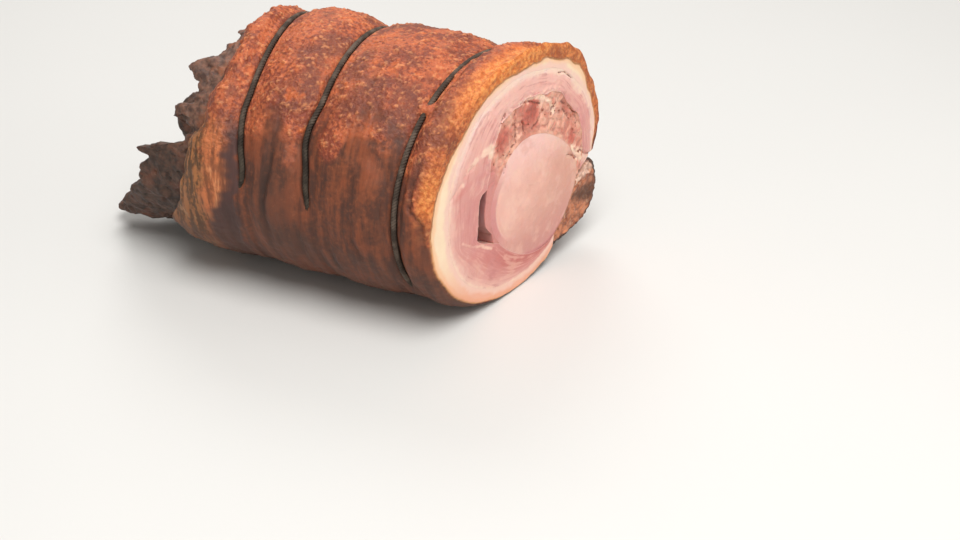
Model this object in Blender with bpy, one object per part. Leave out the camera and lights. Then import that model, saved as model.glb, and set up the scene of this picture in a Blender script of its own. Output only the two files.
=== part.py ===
"""A rolled pork roast, tied with three strings and cut open at one end.

The roll lies along X with its cut face at +X. Y is across the roll and Z is up from the surface it rests on.
Every layer of the roll is a band between two closed curves of the cross-section: the outline of the loin in
the middle, and the valley curve, which is how far the strings press the skin in. theta is the angle round the
section, in degrees, measured from +Y (the right-hand side of the cut face) over the top. A share of 0 is on
the loin and a share of 1 on the valley curve. A station is a function that gives x for points of the section.
"""

import bmesh
import bpy
import numpy as np

# Section of the roll, in metres.
CENTRE_Z = 0.0691
VALLEY_HALF_WIDTH = 0.0725
VALLEY_RISE = 0.0665
VALLEY_DROP = 0.0688
LOIN_OFFSET = np.array((0.0159, -0.0157))
LOIN_HALF_LENGTH = 0.0397
LOIN_HALF_WIDTH = 0.0331
LOIN_TURN = -38.0
LOIN_SQUARENESS = 2.3
FLAP_BULGE = 0.0150
FLAP_BULGE_AT = -33.0
FLAP_BULGE_SPREAD = 15.0

# The skin and belly wrap from the seam over the top and under the roll to the flap.
SEAM_START = -9.0
WRAP_END = 299.0
FLAP_START = 299.8
FLAP_END = 346.5
THETA_STEP = 7.5
LAYER_GAP = 0.0004
BELL_FULLNESS = 2.6

# How much and over how many degrees the edges of the skin and of the flap are rounded off along the seam.
SKIN_EDGE_ROUND = (0.004, 9.0)
FLAP_EDGE_ROUND = (0.003, 6.0)

# Where the cut face and the strings cross the roll's axis, and how far each is turned, in degrees.
FACE_X = 0.1103
FACE_TURN = 13.2
STRING_X = (0.0847, 0.0212, -0.0252)
STRING_TURNS = (8.9, -1.0, -6.7)

# Where the skin ends at the far end, how far its edge leans back to the floor, its waves (count, phase and
# size), how far it tapers in, and where it stands out or has shrunk back (angle, length and spread).
SKIN_END_X = -0.0565
SKIN_END_LEAN = 0.25
SKIN_END_WAVES = ((3, 75.0, 0.0028), (7, 0.0, 0.0016))
SKIN_END_TAPER = 0.0100
SKIN_SHIFTS = ((108.0, -0.0045, 24.0), (150.0, 0.0030, 9.0))

# Strings, and the notches they lie in: each step's distance from the string and its depth.
STRING_RADIUS = 0.0015
NOTCH_MOUTH = 0.0042
NOTCH_STEPS = ((0.0042, 0.0), (0.0021, 0.0047), (-0.0021, 0.0047), (-0.0042, 0.0))
STRING_STEPS = 48
STRING_SIDES = 8

# How high the skin stands over the valley between the strings, from the cut face to the far end, and the
# profile of each crest: the share of its length and of its height.
CRESTS = (0.0063, 0.0050, 0.0048, 0.0044)
CREST_PROFILE = ((0.18, 0.68), (0.50, 1.0), (0.82, 0.70))
END_CREST_PROFILE = ((0.20, 0.75), (0.48, 1.0), (0.78, 0.10))
CREST_TOP_AT = 80.0
CREST_MEAN = 0.70
CREST_SWING = 0.30
FLAP_CREST_SHARE = 0.35
LIP_MEAN = 0.0034
LIP_SWING = 0.0036
LIP_AT = 60.0
LIP_SWELLS = ((47.0, 0.0032, 16.0), (8.0, 0.0012, 17.0))

# The fat under the skin, which is thickest on the left; its depth at the cut, where it is thinner on top; and
# the crescent of filling.
FAT_MEAN = 0.0112
FAT_SWING = 0.0036
FAT_THICKEST_AT = 170.0
CUT_FAT_ANGLES = (-9.0, 11.0, 25.0, 40.0, 97.0, 130.0, 150.0, 174.0, 187.0, 211.0, 299.0)
CUT_FAT_DEPTHS = (0.0028, 0.0032, 0.0050, 0.0062, 0.0066, 0.0086, 0.0108, 0.0154, 0.0154, 0.0127, 0.0085)
FILLING_ANGLES = (-9.0, 15.0, 45.0, 90.0, 120.0, 145.0, 165.0)
FILLING_SHARES = (0.34, 0.62, 0.70, 0.70, 0.56, 0.26, 0.09)
FILLING_EDGE = 165.0

# The pocket between the loin and the belly at the cut face.
POCKET_DEPTH = 0.0075
POCKET_AT = 186.0
POCKET_SPREAD = 15.0
POCKET_DEEP_SHARE = 0.8

# Roasted meat that stands out of the far end, in lobes: the angle each points to, its length and its spread.
# A lobe's profile is how much of the layer's thickness is left at each share of its length, the tip depth is
# where in the thickness it ends, and the flare is how far outwards it leans at its tip.
BELLY_LOBES = (
    (246.0, 0.0540, 18.0),
    (214.0, 0.041, 15.0),
    (190.0, 0.026, 12.0),
    (171.0, 0.029, 8.0),
    (149.0, 0.017, 8.0),
    (124.0, 0.018, 10.0),
    (98.0, 0.009, 11.0),
    (38.0, 0.008, 13.0),
    (285.0, 0.012, 12.0),
)
FILLING_LOBES = ((100.0, 0.018, 14.0), (55.0, 0.010, 16.0))
LOBE_BASE = 0.004
LOBE_PROFILE = ((0.0, 1.0), (0.5, 0.97), (0.84, 0.84), (1.0, 0.60))
BELLY_TIP_DEPTH = 0.80
BELLY_FLARE = ((238.0, 0.0075, 24.0),)
FILLING_TIP_DEPTH = 0.50
FILLING_FLARE = ()

# The loin's far end, which draws to a blunt tip: where the tip is, and the size of the section at each x.
LOIN_TIP = (-0.004, 0.071)
LOIN_PROFILE = ((-0.062, 1.0), (-0.080, 0.80), (-0.092, 0.56), (-0.099, 0.36), (-0.1025, 0.16))

# The flap stands a little out of the far end.
FLAP_OVERHANG = 0.007

# Colour and roughness of each sub-part.
FINISHES = {
    "fat_cap": ((0.38, 0.12, 0.05, 1), 0.45),
    "belly": ((0.80, 0.45, 0.38, 1), 0.50),
    "filling": ((0.56, 0.24, 0.17, 1), 0.55),
    "loin": ((0.83, 0.52, 0.42, 1), 0.50),
    "flap": ((0.33, 0.14, 0.07, 1), 0.60),
    "string": ((0.05, 0.04, 0.03, 1), 0.80),
}
SHARP_EDGE = np.radians(35)


def outward(theta):
    """The direction of theta in the section, from its middle."""
    return np.stack([np.cos(np.radians(theta)), np.sin(np.radians(theta))], axis=-1)


def bell(theta, centre, spread):
    """A smooth bump of height 1 round an angle, the same after every full turn."""
    away = (theta - centre + 180.0) % 360.0 - 180.0
    return np.exp(-(np.abs(away / spread) ** BELL_FULLNESS))


def bells(theta, lobes):
    return sum(height * bell(theta, centre, spread) for centre, height, spread in lobes)


def valley_point(theta):
    """(y, z) of the curve that the strings' outer sides follow."""
    across, up = outward(theta).T
    radius = 1 / np.hypot(across / VALLEY_HALF_WIDTH, up / np.where(up > 0, VALLEY_RISE, VALLEY_DROP))
    radius = radius + FLAP_BULGE * bell(theta, FLAP_BULGE_AT, FLAP_BULGE_SPREAD)
    return outward(theta) * radius[:, None] + (0.0, CENTRE_Z)


def loin_point(theta):
    """(y, z) of the loin's outline, a soft oblong whose long way is turned."""
    across, up = np.abs(outward(theta - LOIN_TURN)).T
    power = LOIN_SQUARENESS
    radius = ((across / LOIN_HALF_LENGTH) ** power + (up / LOIN_HALF_WIDTH) ** power) ** (-1 / power)
    return outward(theta) * radius[:, None] + (LOIN_OFFSET + (0.0, CENTRE_Z))


def layer_depth(theta):
    return np.linalg.norm(valley_point(theta) - loin_point(theta), axis=-1)


def layer_point(theta, share, offset=0.0):
    """(y, z) at a share of the way from the loin to the valley, and an offset further out."""
    loin_yz = loin_point(theta)
    way = valley_point(theta) - loin_yz
    return loin_yz + way * (share + offset / layer_depth(theta))[:, None]


def valley_normal(theta):
    """The direction square to the valley curve."""
    along = valley_point(theta + 0.5) - valley_point(theta - 0.5)
    along = along / np.linalg.norm(along, axis=-1)[:, None]
    return np.column_stack([along[:, 1], -along[:, 0]])


def fat_share(theta, cut=0.0):
    """Where the fat under the skin meets the belly; cut goes from 1 at the cut face to 0 at the first string."""
    deep = FAT_MEAN + FAT_SWING * np.cos(np.radians(theta - FAT_THICKEST_AT))
    at_cut = np.interp(theta, CUT_FAT_ANGLES, CUT_FAT_DEPTHS)
    return 1 - (deep + (at_cut - deep) * cut) / layer_depth(theta)


def filling_share(theta):
    """Where the filling over the loin meets the belly."""
    return np.interp(theta, FILLING_ANGLES, FILLING_SHARES) * fat_share(theta)


def plane(x, turn):
    """The station of an upright plane that crosses the axis at x, turned by some degrees."""
    return lambda theta, yz: x + yz[:, 0] * np.tan(np.radians(turn))


def cuts():
    """The stations of the cut face and of the three strings."""
    return [plane(FACE_X, FACE_TURN), *map(plane, STRING_X, STRING_TURNS)]


def moved(station, distance):
    return lambda theta, yz: station(theta, yz) + distance


def between(near, far, share):
    return lambda theta, yz: near(theta, yz) * (1 - share) + far(theta, yz) * share


def skin_end(theta, yz):
    """The station of the skin's ragged edge at the far end."""
    ragged = sum(size * np.sin(np.radians(count * theta + phase)) for count, phase, size in SKIN_END_WAVES)
    return SKIN_END_X + SKIN_END_LEAN * (yz[:, 1] - CENTRE_Z) + ragged + bells(theta, SKIN_SHIFTS)


def lobe_ends(lobes):
    """The station of a layer's far end, where it stands out of the skin in lobes."""
    return lambda theta, yz: skin_end(theta, yz) - LOBE_BASE - bells(theta, lobes)


def crest(height):
    """A crest over the valley, full on top and lower underneath, where the roll's weight flattens it."""
    return lambda theta: height * (CREST_MEAN + CREST_SWING * np.cos(np.radians(theta - CREST_TOP_AT)))


def notch(depth):
    return lambda theta: np.full(len(theta), -depth)


def face_lip(theta):
    """How far the crisp skin curls out at the cut."""
    return LIP_MEAN + LIP_SWING * np.cos(np.radians(theta - LIP_AT)) + bells(theta, LIP_SWELLS)


def end_taper(theta):
    """The skin rounds off at the far end, but not underneath."""
    return -SKIN_END_TAPER * (0.5 + 0.5 * np.sin(np.radians(theta)))


def outer_stations():
    """(station, height over the valley, nearness to the cut) down the outside, from the cut to the far end."""
    edges = [*cuts(), skin_end]
    stations = [(edges[0], face_lip, 1.0)]
    for k, height in enumerate(CRESTS):
        last = k == len(CRESTS) - 1
        start = moved(edges[k], -NOTCH_MOUTH if k else 0.0)
        end = moved(edges[k + 1], 0.0 if last else NOTCH_MOUTH)
        for share, size in END_CREST_PROFILE if last else CREST_PROFILE:
            stations.append((between(start, end, share), crest(height * size), 0.0 if k else 1.0 - share))
        if not last:
            stations += [(moved(edges[k + 1], step), notch(depth), 0.0) for step, depth in NOTCH_STEPS]
    return stations + [(skin_end, end_taper, 0.0)]


def inner_stations():
    """(station, nearness to the cut, the pocket's share of its depth) of the layers inside the skin."""
    face, first, *others = cuts()
    mouth = moved(first, NOTCH_MOUTH)
    near = [(between(face, mouth, share), 1.0 - share, 1.0) for share, _ in CREST_PROFILE]
    deep = [(string, 0.0, 0.0) for string in others]
    return [(face, 1.0, 1.0), *near, (mouth, 0.0, POCKET_DEEP_SHARE), *deep]


def above_floor(yz):
    """The roll rests on its own flattened underside."""
    return np.column_stack([yz[:, 0], np.maximum(yz[:, 1], 0.0)])


def ends_rounded(theta, amount, reach):
    """How far a layer's outside is rounded off towards its first and last angle."""
    to_edge = np.minimum(theta - theta[0], theta[-1] - theta)
    return -amount * (1 - np.clip(to_edge / reach, 0, 1)) ** 2


def angles(start, end):
    return np.linspace(start, end, int(round((end - start) / THETA_STEP)) + 1)


def section(theta, station, yz):
    """Points of one cross-section at a station."""
    return np.column_stack([station(theta, yz), yz])


def band_section(theta, station, outer, inner):
    """A closed loop: along the layer's outer side, and back along its inner side."""
    return np.vstack([section(theta, station, outer), section(theta, station, inner)[::-1]])


def new_object(name, mesh_data, finish):
    """Turns a finished bmesh into an object with its own material."""
    colour, roughness = FINISHES[finish]
    bmesh.ops.triangulate(mesh_data, faces=mesh_data.faces)
    bmesh.ops.recalc_face_normals(mesh_data, faces=mesh_data.faces)
    mesh = bpy.data.meshes.new(name)
    mesh_data.to_mesh(mesh)
    mesh_data.free()
    material = bpy.data.materials.new(name)
    material.use_nodes = True
    shader = material.node_tree.nodes["Principled BSDF"]
    shader.inputs["Base Color"].default_value = colour
    shader.inputs["Roughness"].default_value = roughness
    shader.inputs["Metallic"].default_value = 0.0
    mesh.materials.append(material)
    mesh.shade_smooth()
    mesh.set_sharp_from_angle(angle=SHARP_EDGE)
    obj = bpy.data.objects.new(name, mesh)
    bpy.context.scene.collection.objects.link(obj)


def add_rings(mesh_data, sections, closed):
    """Walls through rings of points, and back to the first ring if the rings make a loop."""
    rows = [[mesh_data.verts.new(point) for point in ring] for ring in sections]
    count = len(rows[0])
    for near, far in zip(rows, rows[1:] + rows[:1] if closed else rows[1:]):
        for i in range(count):
            j = (i + 1) % count
            mesh_data.faces.new((near[i], near[j], far[j], far[i]))
    return rows


def add_band(name, sections):
    """A solid through band sections, whose two end caps are strips across the layer."""
    mesh_data = bmesh.new()
    rows = add_rings(mesh_data, sections, closed=False)
    for row in (rows[0], rows[-1]):
        for i in range(len(row) // 2 - 1):
            mesh_data.faces.new((row[i], row[i + 1], row[-i - 2], row[-i - 1]))
    new_object(name, mesh_data, name)


def lobed_end(theta, outer_share, inner_share, lobes, tip_depth, flare):
    """The sections of a layer beyond the skin's end, which thin towards the tips of the lobes."""
    sections = []
    thickness = outer_share - inner_share
    for reach, size in LOBE_PROFILE:
        middle = inner_share + thickness * (0.5 * (1 - reach) + tip_depth * reach)
        half = thickness / 2 * size * (1 - reach * (2 * tip_depth - 1))
        lean = bells(theta, flare) * reach
        outer = above_floor(layer_point(theta, middle + half, lean - LAYER_GAP / 2))
        inner = above_floor(layer_point(theta, middle - half, lean + LAYER_GAP / 2))
        station = between(skin_end, lobe_ends(lobes), reach)
        sections.append(band_section(theta, station, outer, inner))
    return sections


def add_fat_cap():
    """The layer of fat whose outside is the crisp skin, from the seam over the top and under the roll."""
    theta = angles(SEAM_START, WRAP_END)
    rounding = ends_rounded(theta, *SKIN_EDGE_ROUND)
    sections = []
    for station, height, cut in outer_stations():
        outer = above_floor(layer_point(theta, 1.0, height(theta) + rounding))
        inner = layer_point(theta, fat_share(theta, cut), LAYER_GAP / 2)
        sections.append(band_section(theta, station, outer, inner))
    add_band("fat_cap", sections)


def add_belly():
    """The belly meat inside the fat, which stands out of the far end in lobes."""
    theta = angles(SEAM_START, WRAP_END)
    inner_share = np.where(theta < FILLING_EDGE, filling_share(theta), 0.0)
    pocket = POCKET_DEPTH * bell(theta, POCKET_AT, POCKET_SPREAD)
    sections = []
    for station, cut, depth in inner_stations():
        outer = layer_point(theta, fat_share(theta, cut), -LAYER_GAP / 2)
        inner = layer_point(theta, inner_share, LAYER_GAP / 2 + pocket * depth)
        sections.append(band_section(theta, station, outer, inner))
    sections += lobed_end(theta, fat_share(theta), inner_share, BELLY_LOBES, BELLY_TIP_DEPTH, BELLY_FLARE)
    add_band("belly", sections)


def add_filling():
    """The seasoned trimmings between the belly and the loin, a crescent that runs the roll's length."""
    theta = angles(SEAM_START, FILLING_EDGE)
    share_out = filling_share(theta)
    outer = layer_point(theta, share_out, -LAYER_GAP / 2)
    inner = layer_point(theta, 0.0, LAYER_GAP / 2)
    sections = [band_section(theta, station, outer, inner) for station in cuts()]
    sections += lobed_end(theta, share_out, 0.0, FILLING_LOBES, FILLING_TIP_DEPTH, FILLING_FLARE)
    add_band("filling", sections)


def add_loin():
    """The lean core, whose far end is drawn to a blunt point by roasting."""
    theta = angles(0.0, 360.0)[:-1]
    outline = layer_point(theta, 0.0, -LAYER_GAP / 2)
    tip = np.array(LOIN_TIP)
    sections = [section(theta, plane(FACE_X, FACE_TURN), outline)]
    sections += [section(theta, plane(x, 0.0), tip + (outline - tip) * size) for x, size in LOIN_PROFILE]
    mesh_data = bmesh.new()
    rows = add_rings(mesh_data, sections, closed=False)
    for row in (rows[0], rows[-1]):
        centre = mesh_data.verts.new(np.mean([vertex.co for vertex in row], axis=0))
        for i in range(len(row)):
            mesh_data.faces.new((row[i - 1], row[i], centre))
    new_object("loin", mesh_data, "loin")


def add_flap():
    """The roasted end of the belly strip, tucked against the loin below the seam."""
    theta = angles(FLAP_START, FLAP_END)
    inner = layer_point(theta, 0.0, LAYER_GAP / 2)
    rounding = ends_rounded(theta, *FLAP_EDGE_ROUND)
    sections = []
    for station, height, _ in outer_stations():
        low = np.minimum(height(theta), height(theta) * FLAP_CREST_SHARE)
        outer = above_floor(layer_point(theta, 1.0, low + rounding))
        if station is skin_end:
            station = moved(skin_end, -FLAP_OVERHANG)
        sections.append(band_section(theta, station, outer, inner))
    add_band("flap", sections)


def add_string(name, station):
    """One loop of string, lying in its notch with its outer side on the valley curve."""
    theta = np.linspace(0.0, 360.0, STRING_STEPS, endpoint=False)
    normal = valley_normal(theta)
    centre = valley_point(theta) - normal * STRING_RADIUS
    x = station(theta, centre)
    turn = 2 * np.pi * (np.arange(STRING_SIDES) + 0.5) / STRING_SIDES
    rings = []
    for i in range(STRING_STEPS):
        out = np.outer(np.cos(turn), normal[i]) * STRING_RADIUS
        rings.append(np.column_stack([x[i] + np.sin(turn) * STRING_RADIUS, centre[i] + out]))
    mesh_data = bmesh.new()
    add_rings(mesh_data, rings, closed=True)
    new_object(name, mesh_data, "string")


for leftover in list(bpy.data.objects):
    bpy.data.objects.remove(leftover)

add_fat_cap()
add_belly()
add_filling()
add_loin()
add_flap()
for number, cut in enumerate(cuts()[1:], start=1):
    add_string(f"string_{number}", cut)
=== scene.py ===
"""A rolled pork roast, tied with three strings and cut open at one end.

The roll lies along X with its cut face at +X. Y is across it and Z is up from what it rests on. Each layer
is a band between curves of the cross-section. theta is the angle round the section in degrees, from +Y over
the top. A share of 0 is on the loin's outline and a share of 1 on the valley curve, which is how far the
strings press the skin in. Grids of points have one row for each theta. Masks are numbers, mostly from 0 to
1, that the geometry trees and the materials read as attributes. Lengths are in metres where nothing else is
said.
"""

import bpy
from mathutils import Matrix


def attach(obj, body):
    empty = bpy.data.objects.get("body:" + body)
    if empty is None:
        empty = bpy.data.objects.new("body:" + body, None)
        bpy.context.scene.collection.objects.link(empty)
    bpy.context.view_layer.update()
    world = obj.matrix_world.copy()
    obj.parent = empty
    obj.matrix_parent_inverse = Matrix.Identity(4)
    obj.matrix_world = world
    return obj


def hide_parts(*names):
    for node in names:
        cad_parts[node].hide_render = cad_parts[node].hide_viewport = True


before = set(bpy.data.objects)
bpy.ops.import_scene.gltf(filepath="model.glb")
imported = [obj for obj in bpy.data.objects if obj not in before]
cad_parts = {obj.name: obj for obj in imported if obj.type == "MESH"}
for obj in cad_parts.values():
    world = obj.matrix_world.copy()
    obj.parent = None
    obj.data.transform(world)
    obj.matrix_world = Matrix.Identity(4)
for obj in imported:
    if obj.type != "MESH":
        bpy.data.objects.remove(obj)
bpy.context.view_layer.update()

import bmesh
import bpy
import numpy as np
from mathutils import Vector

# ---- the section's sizes
# Bumps are (theta, height, spread) and ripples are (number round the roll, phase, height).
CENTRE_Z = 0.0691
VALLEY_HALF_WIDTH = 0.0725
VALLEY_RISE = 0.0665
VALLEY_DROP = 0.0688
LOIN_OFFSET = np.array((0.0159, -0.0157))
LOIN_HALF_LENGTH = 0.0397
LOIN_HALF_WIDTH = 0.0331
LOIN_TURN = -38
LOIN_SQUARENESS = 2.3
FLAP_BULGE = ((-33, 0.015, 15),)
BELL_FULLNESS = 2.6

SEAM_START = -9
GAP = 0.00003
LOBE_BASE = 0.004
LOBE_RIPPLES = ((23, 0, 0.0008), (51, 40, 0.0005))
TIP_ROUND = 0.0026
ROUND_RADIUS = 0.055
WRAP_END = 299
FLAP_START = 299.8
FLAP_END = 346.5
SKIN_EDGE_ROUND = (0.0025, 5)
FLAP_EDGE_ROUND = (0.003, 6)

# Where the cut face and the strings cross the axis, and the angle that each is turned by.
CUTS = ((0.1103, 13.2), (0.0833, 8.9), (0.02, -1), (-0.0262, -6.7))
CUT_FACE = 0
STRINGS = (1, 2, 3)
SKIN_END = len(CUTS)
FACE_TURN = np.radians(CUTS[CUT_FACE][1])
FACE_NORMAL = (np.cos(FACE_TURN), -np.sin(FACE_TURN), 0)

SKIN_END_X = -0.0565
SKIN_END_LEAN = 0.25
SKIN_END_WAVES = ((3, 75, 0.0028), (7, 0, 0.0016), (17, 40, 0.0009), (31, 10, 0.0006))
SKIN_END_TAPER = 0.01
SKIN_SHIFTS = ((108, -0.0045, 24), (150, 0.003, 9), (187, 0.0065, 13))

STRING_RADIUS = 0.0015
GROOVE_MOUTH = 0.0042
GROOVE_DEPTH = 0.0036
GROOVE_HALF_WIDTH = 0.0021
GROOVE_FULLNESS = 3.5
GROOVE_ROWS = 14

# Where roasted skin has closed over a string: between which angles it starts, and ends, and how far it goes.
BURIED = {
    1: (((206, 224), (262, 248), 1), ((82, 92), (113, 102), 0.52), ((121, 125), (131, 127), 0.9)),
    2: (((170, 186), (256, 244), 1),),
    3: (((167, 181), (252, 238), 1),),
}
# How far the skin stands out there, and how much further off such a string counts as.
BURIED_RISE = 0.0014
BURIED_AWAY = 0.010

# How far a string strays along the roll from its plane.
SWAYS = {
    2: ((149, -0.003, 11), (181, 0.0015, 8)),
    3: ((105, 0.001, 24), (146, -0.0012, 8), (170, 0.002, 8)),
}

# How high the skin stands between the strings, from the cut face to the far end.
CRESTS = (0.0063, 0.005, 0.0048, 0.0044)
CREST_ROWS = (24, 54, 38, 32)
CREST_PROFILE = ((0.18, 0.68), (0.5, 1), (0.82, 0.7))
END_CREST_PROFILE = ((0.2, 0.75), (0.48, 1), (0.78, 0.1))
FLAP_CREST_SHARE = 0.35
LIP_SWELLS = ((47, 0.0032, 16), (8, 0.0012, 17))
LIP_RIPPLES = ((11, 30, 0.0007), (23, 0, 0.0005), (37, 60, 0.0003))
RIM_DROP = 0.0014
RIM_REACH = 0.003

FAT_MEAN = 0.0112
FAT_SWING = 0.0036
FAT_THICKEST_AT = 170
FAT_AT_CUT = (
    (-9, 0.0028), (11, 0.0032), (25, 0.005), (40, 0.0062), (97, 0.0066), (130, 0.0086), (150, 0.0108),
    (174, 0.0154), (187, 0.0154), (211, 0.0127), (299, 0.0085),
)
FAT_RIPPLES = ((5, 40, 0.0004), (11, 0, 0.0003))

# How far the browned rind comes in from the rim of the cut.
RIND_DEPTH = (
    (-9, 0.0078), (40, 0.0088), (60, 0.0098), (85, 0.0102), (105, 0.0092), (120, 0.0088), (135, 0.0094),
    (150, 0.0078), (160, 0.0058), (172, 0.0036), (182, 0.0029), (200, 0.0026), (299, 0.0024),
)
RIND_RIPPLES = ((9, 0, 0.0004), (19, 50, 0.0002))
THINNED_OVER = 0.14
FILLING_SHARES = ((-9, 0.34), (15, 0.62), (45, 0.7), (90, 0.7), (120, 0.56), (145, 0.26))
FILLING_RIPPLES = ((7, 20, 0.0009), (13, 100, 0.0007), (29, 50, 0.0004))

# The strip of filling down the loin's left side, and the pocket between it and the belly: (theta, width).
STRIP = (
    (145, 0.0098), (150, 0.0082), (155, 0.0069), (162, 0.0055), (182, 0.0049), (187, 0.0026),
    (191, 0.0013), (197, 0.0026), (201, 0.0034), (206, 0),
)
STRIP_END = 206
POCKET = (
    (153, 0), (157, 0.0042), (161, 0.0061), (170, 0.0056), (179, 0.0061), (183, 0.0074), (188, 0.0109),
    (191, 0.0127), (194, 0.0106), (200, 0.0021), (202, 0),
)
POCKET_FLOOR_X = 0.055
POCKET_EASED_OVER = 0.020
POCKET_SHADED_FROM = 0.004

# How far along the roll each layer's roasted end comes: (theta, x).
BELLY_END = (
    (-9, -0.066), (22, -0.062), (38, -0.064), (54, -0.056), (78, -0.056), (88, -0.055), (95, -0.0515),
    (104, -0.0545), (112, -0.0555), (118, -0.058), (122, -0.068), (127, -0.0665), (131, -0.058),
    (141, -0.0585), (145, -0.070), (150, -0.0695), (153, -0.060), (157, -0.0555), (161, -0.061),
    (166, -0.076), (169, -0.081), (171, -0.090), (173.5, -0.089), (175, -0.084), (184, -0.0885),
    (194, -0.091), (200, -0.098), (206, -0.104), (213, -0.108), (224, -0.112), (236, -0.119),
    (242, -0.128), (249, -0.127), (256, -0.109), (264, -0.092), (276, -0.082), (288, -0.082),
    (299, -0.078),
)
FILLING_END = (
    (-9, -0.066), (34, -0.062), (46, -0.066), (62, -0.063), (74, -0.057), (88, -0.056), (98, -0.056),
    (106, -0.058), (116, -0.060), (130, -0.059), (146, -0.058), (165, -0.066), (206, -0.082),
)
BELLY_FLARE = ((238, 0.0075, 24),)
LOBE_PROFILE = ((0, 1), (0.5, 0.97), (0.82, 0.87), (1, 0.66))
BELLY_TIP_DEPTH = 0.8
FILLING_TIP_DEPTH = 0.5
LOIN_TIP = np.array((-0.004, 0.071))
LOIN_PROFILE = ((-0.060, 1), (-0.075, 0.8), (-0.086, 0.56), (-0.093, 0.36), (-0.0965, 0.16))
FLAP_OVERHANG = 0.007


# ---- curves of the section
def between(start, end, share):
    """From start, at a share of 0, to end, at a share of 1."""
    return start * (1 - share) + end * share


def inner_steps(count):
    """Even shares from one rim to the other, without the rims."""
    return np.linspace(0, 1, count)[1:-1]


def outward(theta):
    """The direction of theta in the section, from its middle."""
    return np.stack([np.cos(np.radians(theta)), np.sin(np.radians(theta))], axis=-1)


def eased(value, low, high):
    """A smooth step from 0 at low to 1 at high, which may be the lower number."""
    share = np.clip((value - low) / (high - low), 0, 1)
    return share * share * (3 - 2 * share)


def hump(away):
    """1 at 0, and less the further away."""
    return np.exp(-(away**2))


def bell(theta, centre, spread):
    """A smooth bump of height 1 round an angle."""
    away = (theta - centre + 180) % 360 - 180
    return np.exp(-(np.abs(away / spread) ** BELL_FULLNESS))


def bells(theta, bumps):
    return sum(height * bell(theta, centre, spread) for centre, height, spread in bumps)


def ripples(theta, waves):
    return sum(size * np.sin(np.radians(count * theta + phase)) for count, phase, size in waves)


def through(u, stops, levels):
    """A smooth curve through levels at stops, read at u; each level is a number or a column."""
    levels = np.concatenate(np.broadcast_arrays(*[np.atleast_2d(level) for level in levels]), axis=1)
    stops = np.asarray(stops)
    slopes = np.gradient(levels, stops, axis=1)
    k = np.clip(np.searchsorted(stops, u, side="right") - 1, 0, len(stops) - 2)
    width = stops[k + 1] - stops[k]
    s = (u - stops[k]) / width
    return (
        levels[:, k] * (1 + 2 * s) * (1 - s) ** 2
        + slopes[:, k] * width * s * (1 - s) ** 2
        + levels[:, k + 1] * s * s * (3 - 2 * s)
        + slopes[:, k + 1] * width * s * s * (s - 1)
    )


def valley_point(theta):
    """(y, z) of the curve that the strings' outer sides follow."""
    way = outward(theta)
    across, up = way[..., 0], way[..., 1]
    radius = 1 / np.hypot(across / VALLEY_HALF_WIDTH, up / np.where(up > 0, VALLEY_RISE, VALLEY_DROP))
    radius = radius + bells(theta, FLAP_BULGE)
    return way * radius[..., None] + (0, CENTRE_Z)


def loin_point(theta):
    """(y, z) of the loin's outline, a soft oblong whose long way is turned."""
    turned = np.abs(outward(theta - LOIN_TURN))
    power = LOIN_SQUARENESS
    powers = (turned[..., 0] / LOIN_HALF_LENGTH) ** power + (turned[..., 1] / LOIN_HALF_WIDTH) ** power
    return outward(theta) * powers[..., None] ** (-1 / power) + (LOIN_OFFSET + (0, CENTRE_Z))


def layer_depth(theta):
    return np.linalg.norm(valley_point(theta) - loin_point(theta), axis=-1)


def layer_point(theta, share, offset):
    """(y, z) a share of the way from the loin to the valley and an offset further out, above the floor."""
    start = loin_point(theta)
    reach = share + offset / layer_depth(theta)
    yz = start + (valley_point(theta) - start) * np.asarray(reach)[..., None]
    yz[..., 1] = np.maximum(yz[..., 1], 0)
    return yz


def along(theta, stops):
    """A level read at theta from (theta, level) stops."""
    return np.interp(theta, *np.array(stops).T)


def eased_along(theta, stops):
    """The same, but easing from stop to stop."""
    at, levels = np.array(stops).T
    k = np.clip(np.searchsorted(at, theta, side="right") - 1, 0, len(at) - 2)
    return levels[k] + (levels[k + 1] - levels[k]) * eased(theta, at[k], at[k + 1])


def fat_share(theta, cut=0):
    """Where the fat under the skin meets the belly; cut goes from 1 at the cut face to 0 deeper in."""
    deep = FAT_MEAN + FAT_SWING * np.cos(np.radians(theta - FAT_THICKEST_AT))
    thickness = deep + (along(theta, FAT_AT_CUT) - deep) * cut
    return 1 - (thickness + ripples(theta, FAT_RIPPLES)) / layer_depth(theta)


def near_cut(s):
    """1 at the cut face, where s is 0, and 0 from some way in."""
    return 1 - np.clip(s / THINNED_OVER, 0, 1)


def filling_share(theta):
    """Where the filling over the loin, and its thin strip down the loin's left side, meets the belly."""
    over = along(theta, FILLING_SHARES) * fat_share(theta)
    rippled = ripples(theta, FILLING_RIPPLES) * eased(theta, SEAM_START, SEAM_START + 12)
    over = over + rippled / layer_depth(theta)
    return between(over, along(theta, STRIP) / layer_depth(theta), eased(theta, 135, 152))


def edge_x(k, theta, yz):
    """x of the cut face, of a string, or of the skin's ragged far end."""
    if k == SKIN_END:
        lean = SKIN_END_LEAN * (yz[..., 1] - CENTRE_Z)
        return SKIN_END_X + lean + ripples(theta, SKIN_END_WAVES) + bells(theta, SKIN_SHIFTS)
    x, turn = CUTS[k]
    stray = near_spots(yz, FACE_SWELLS) if k == CUT_FACE else bells(theta, SWAYS.get(k, ()))
    return x + yz[..., 0] * np.tan(np.radians(turn)) + stray


def x_between(first, last, theta, yz, share):
    """x at a share of the way between two edges of the roll."""
    return between(edge_x(first, theta, yz), edge_x(last, theta, yz), share)


def buried(k, theta):
    """1 where the roasted skin has closed over string k."""
    return sum(level * eased(theta, *start) * eased(theta, *end) for start, end, level in BURIED[k])


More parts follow.
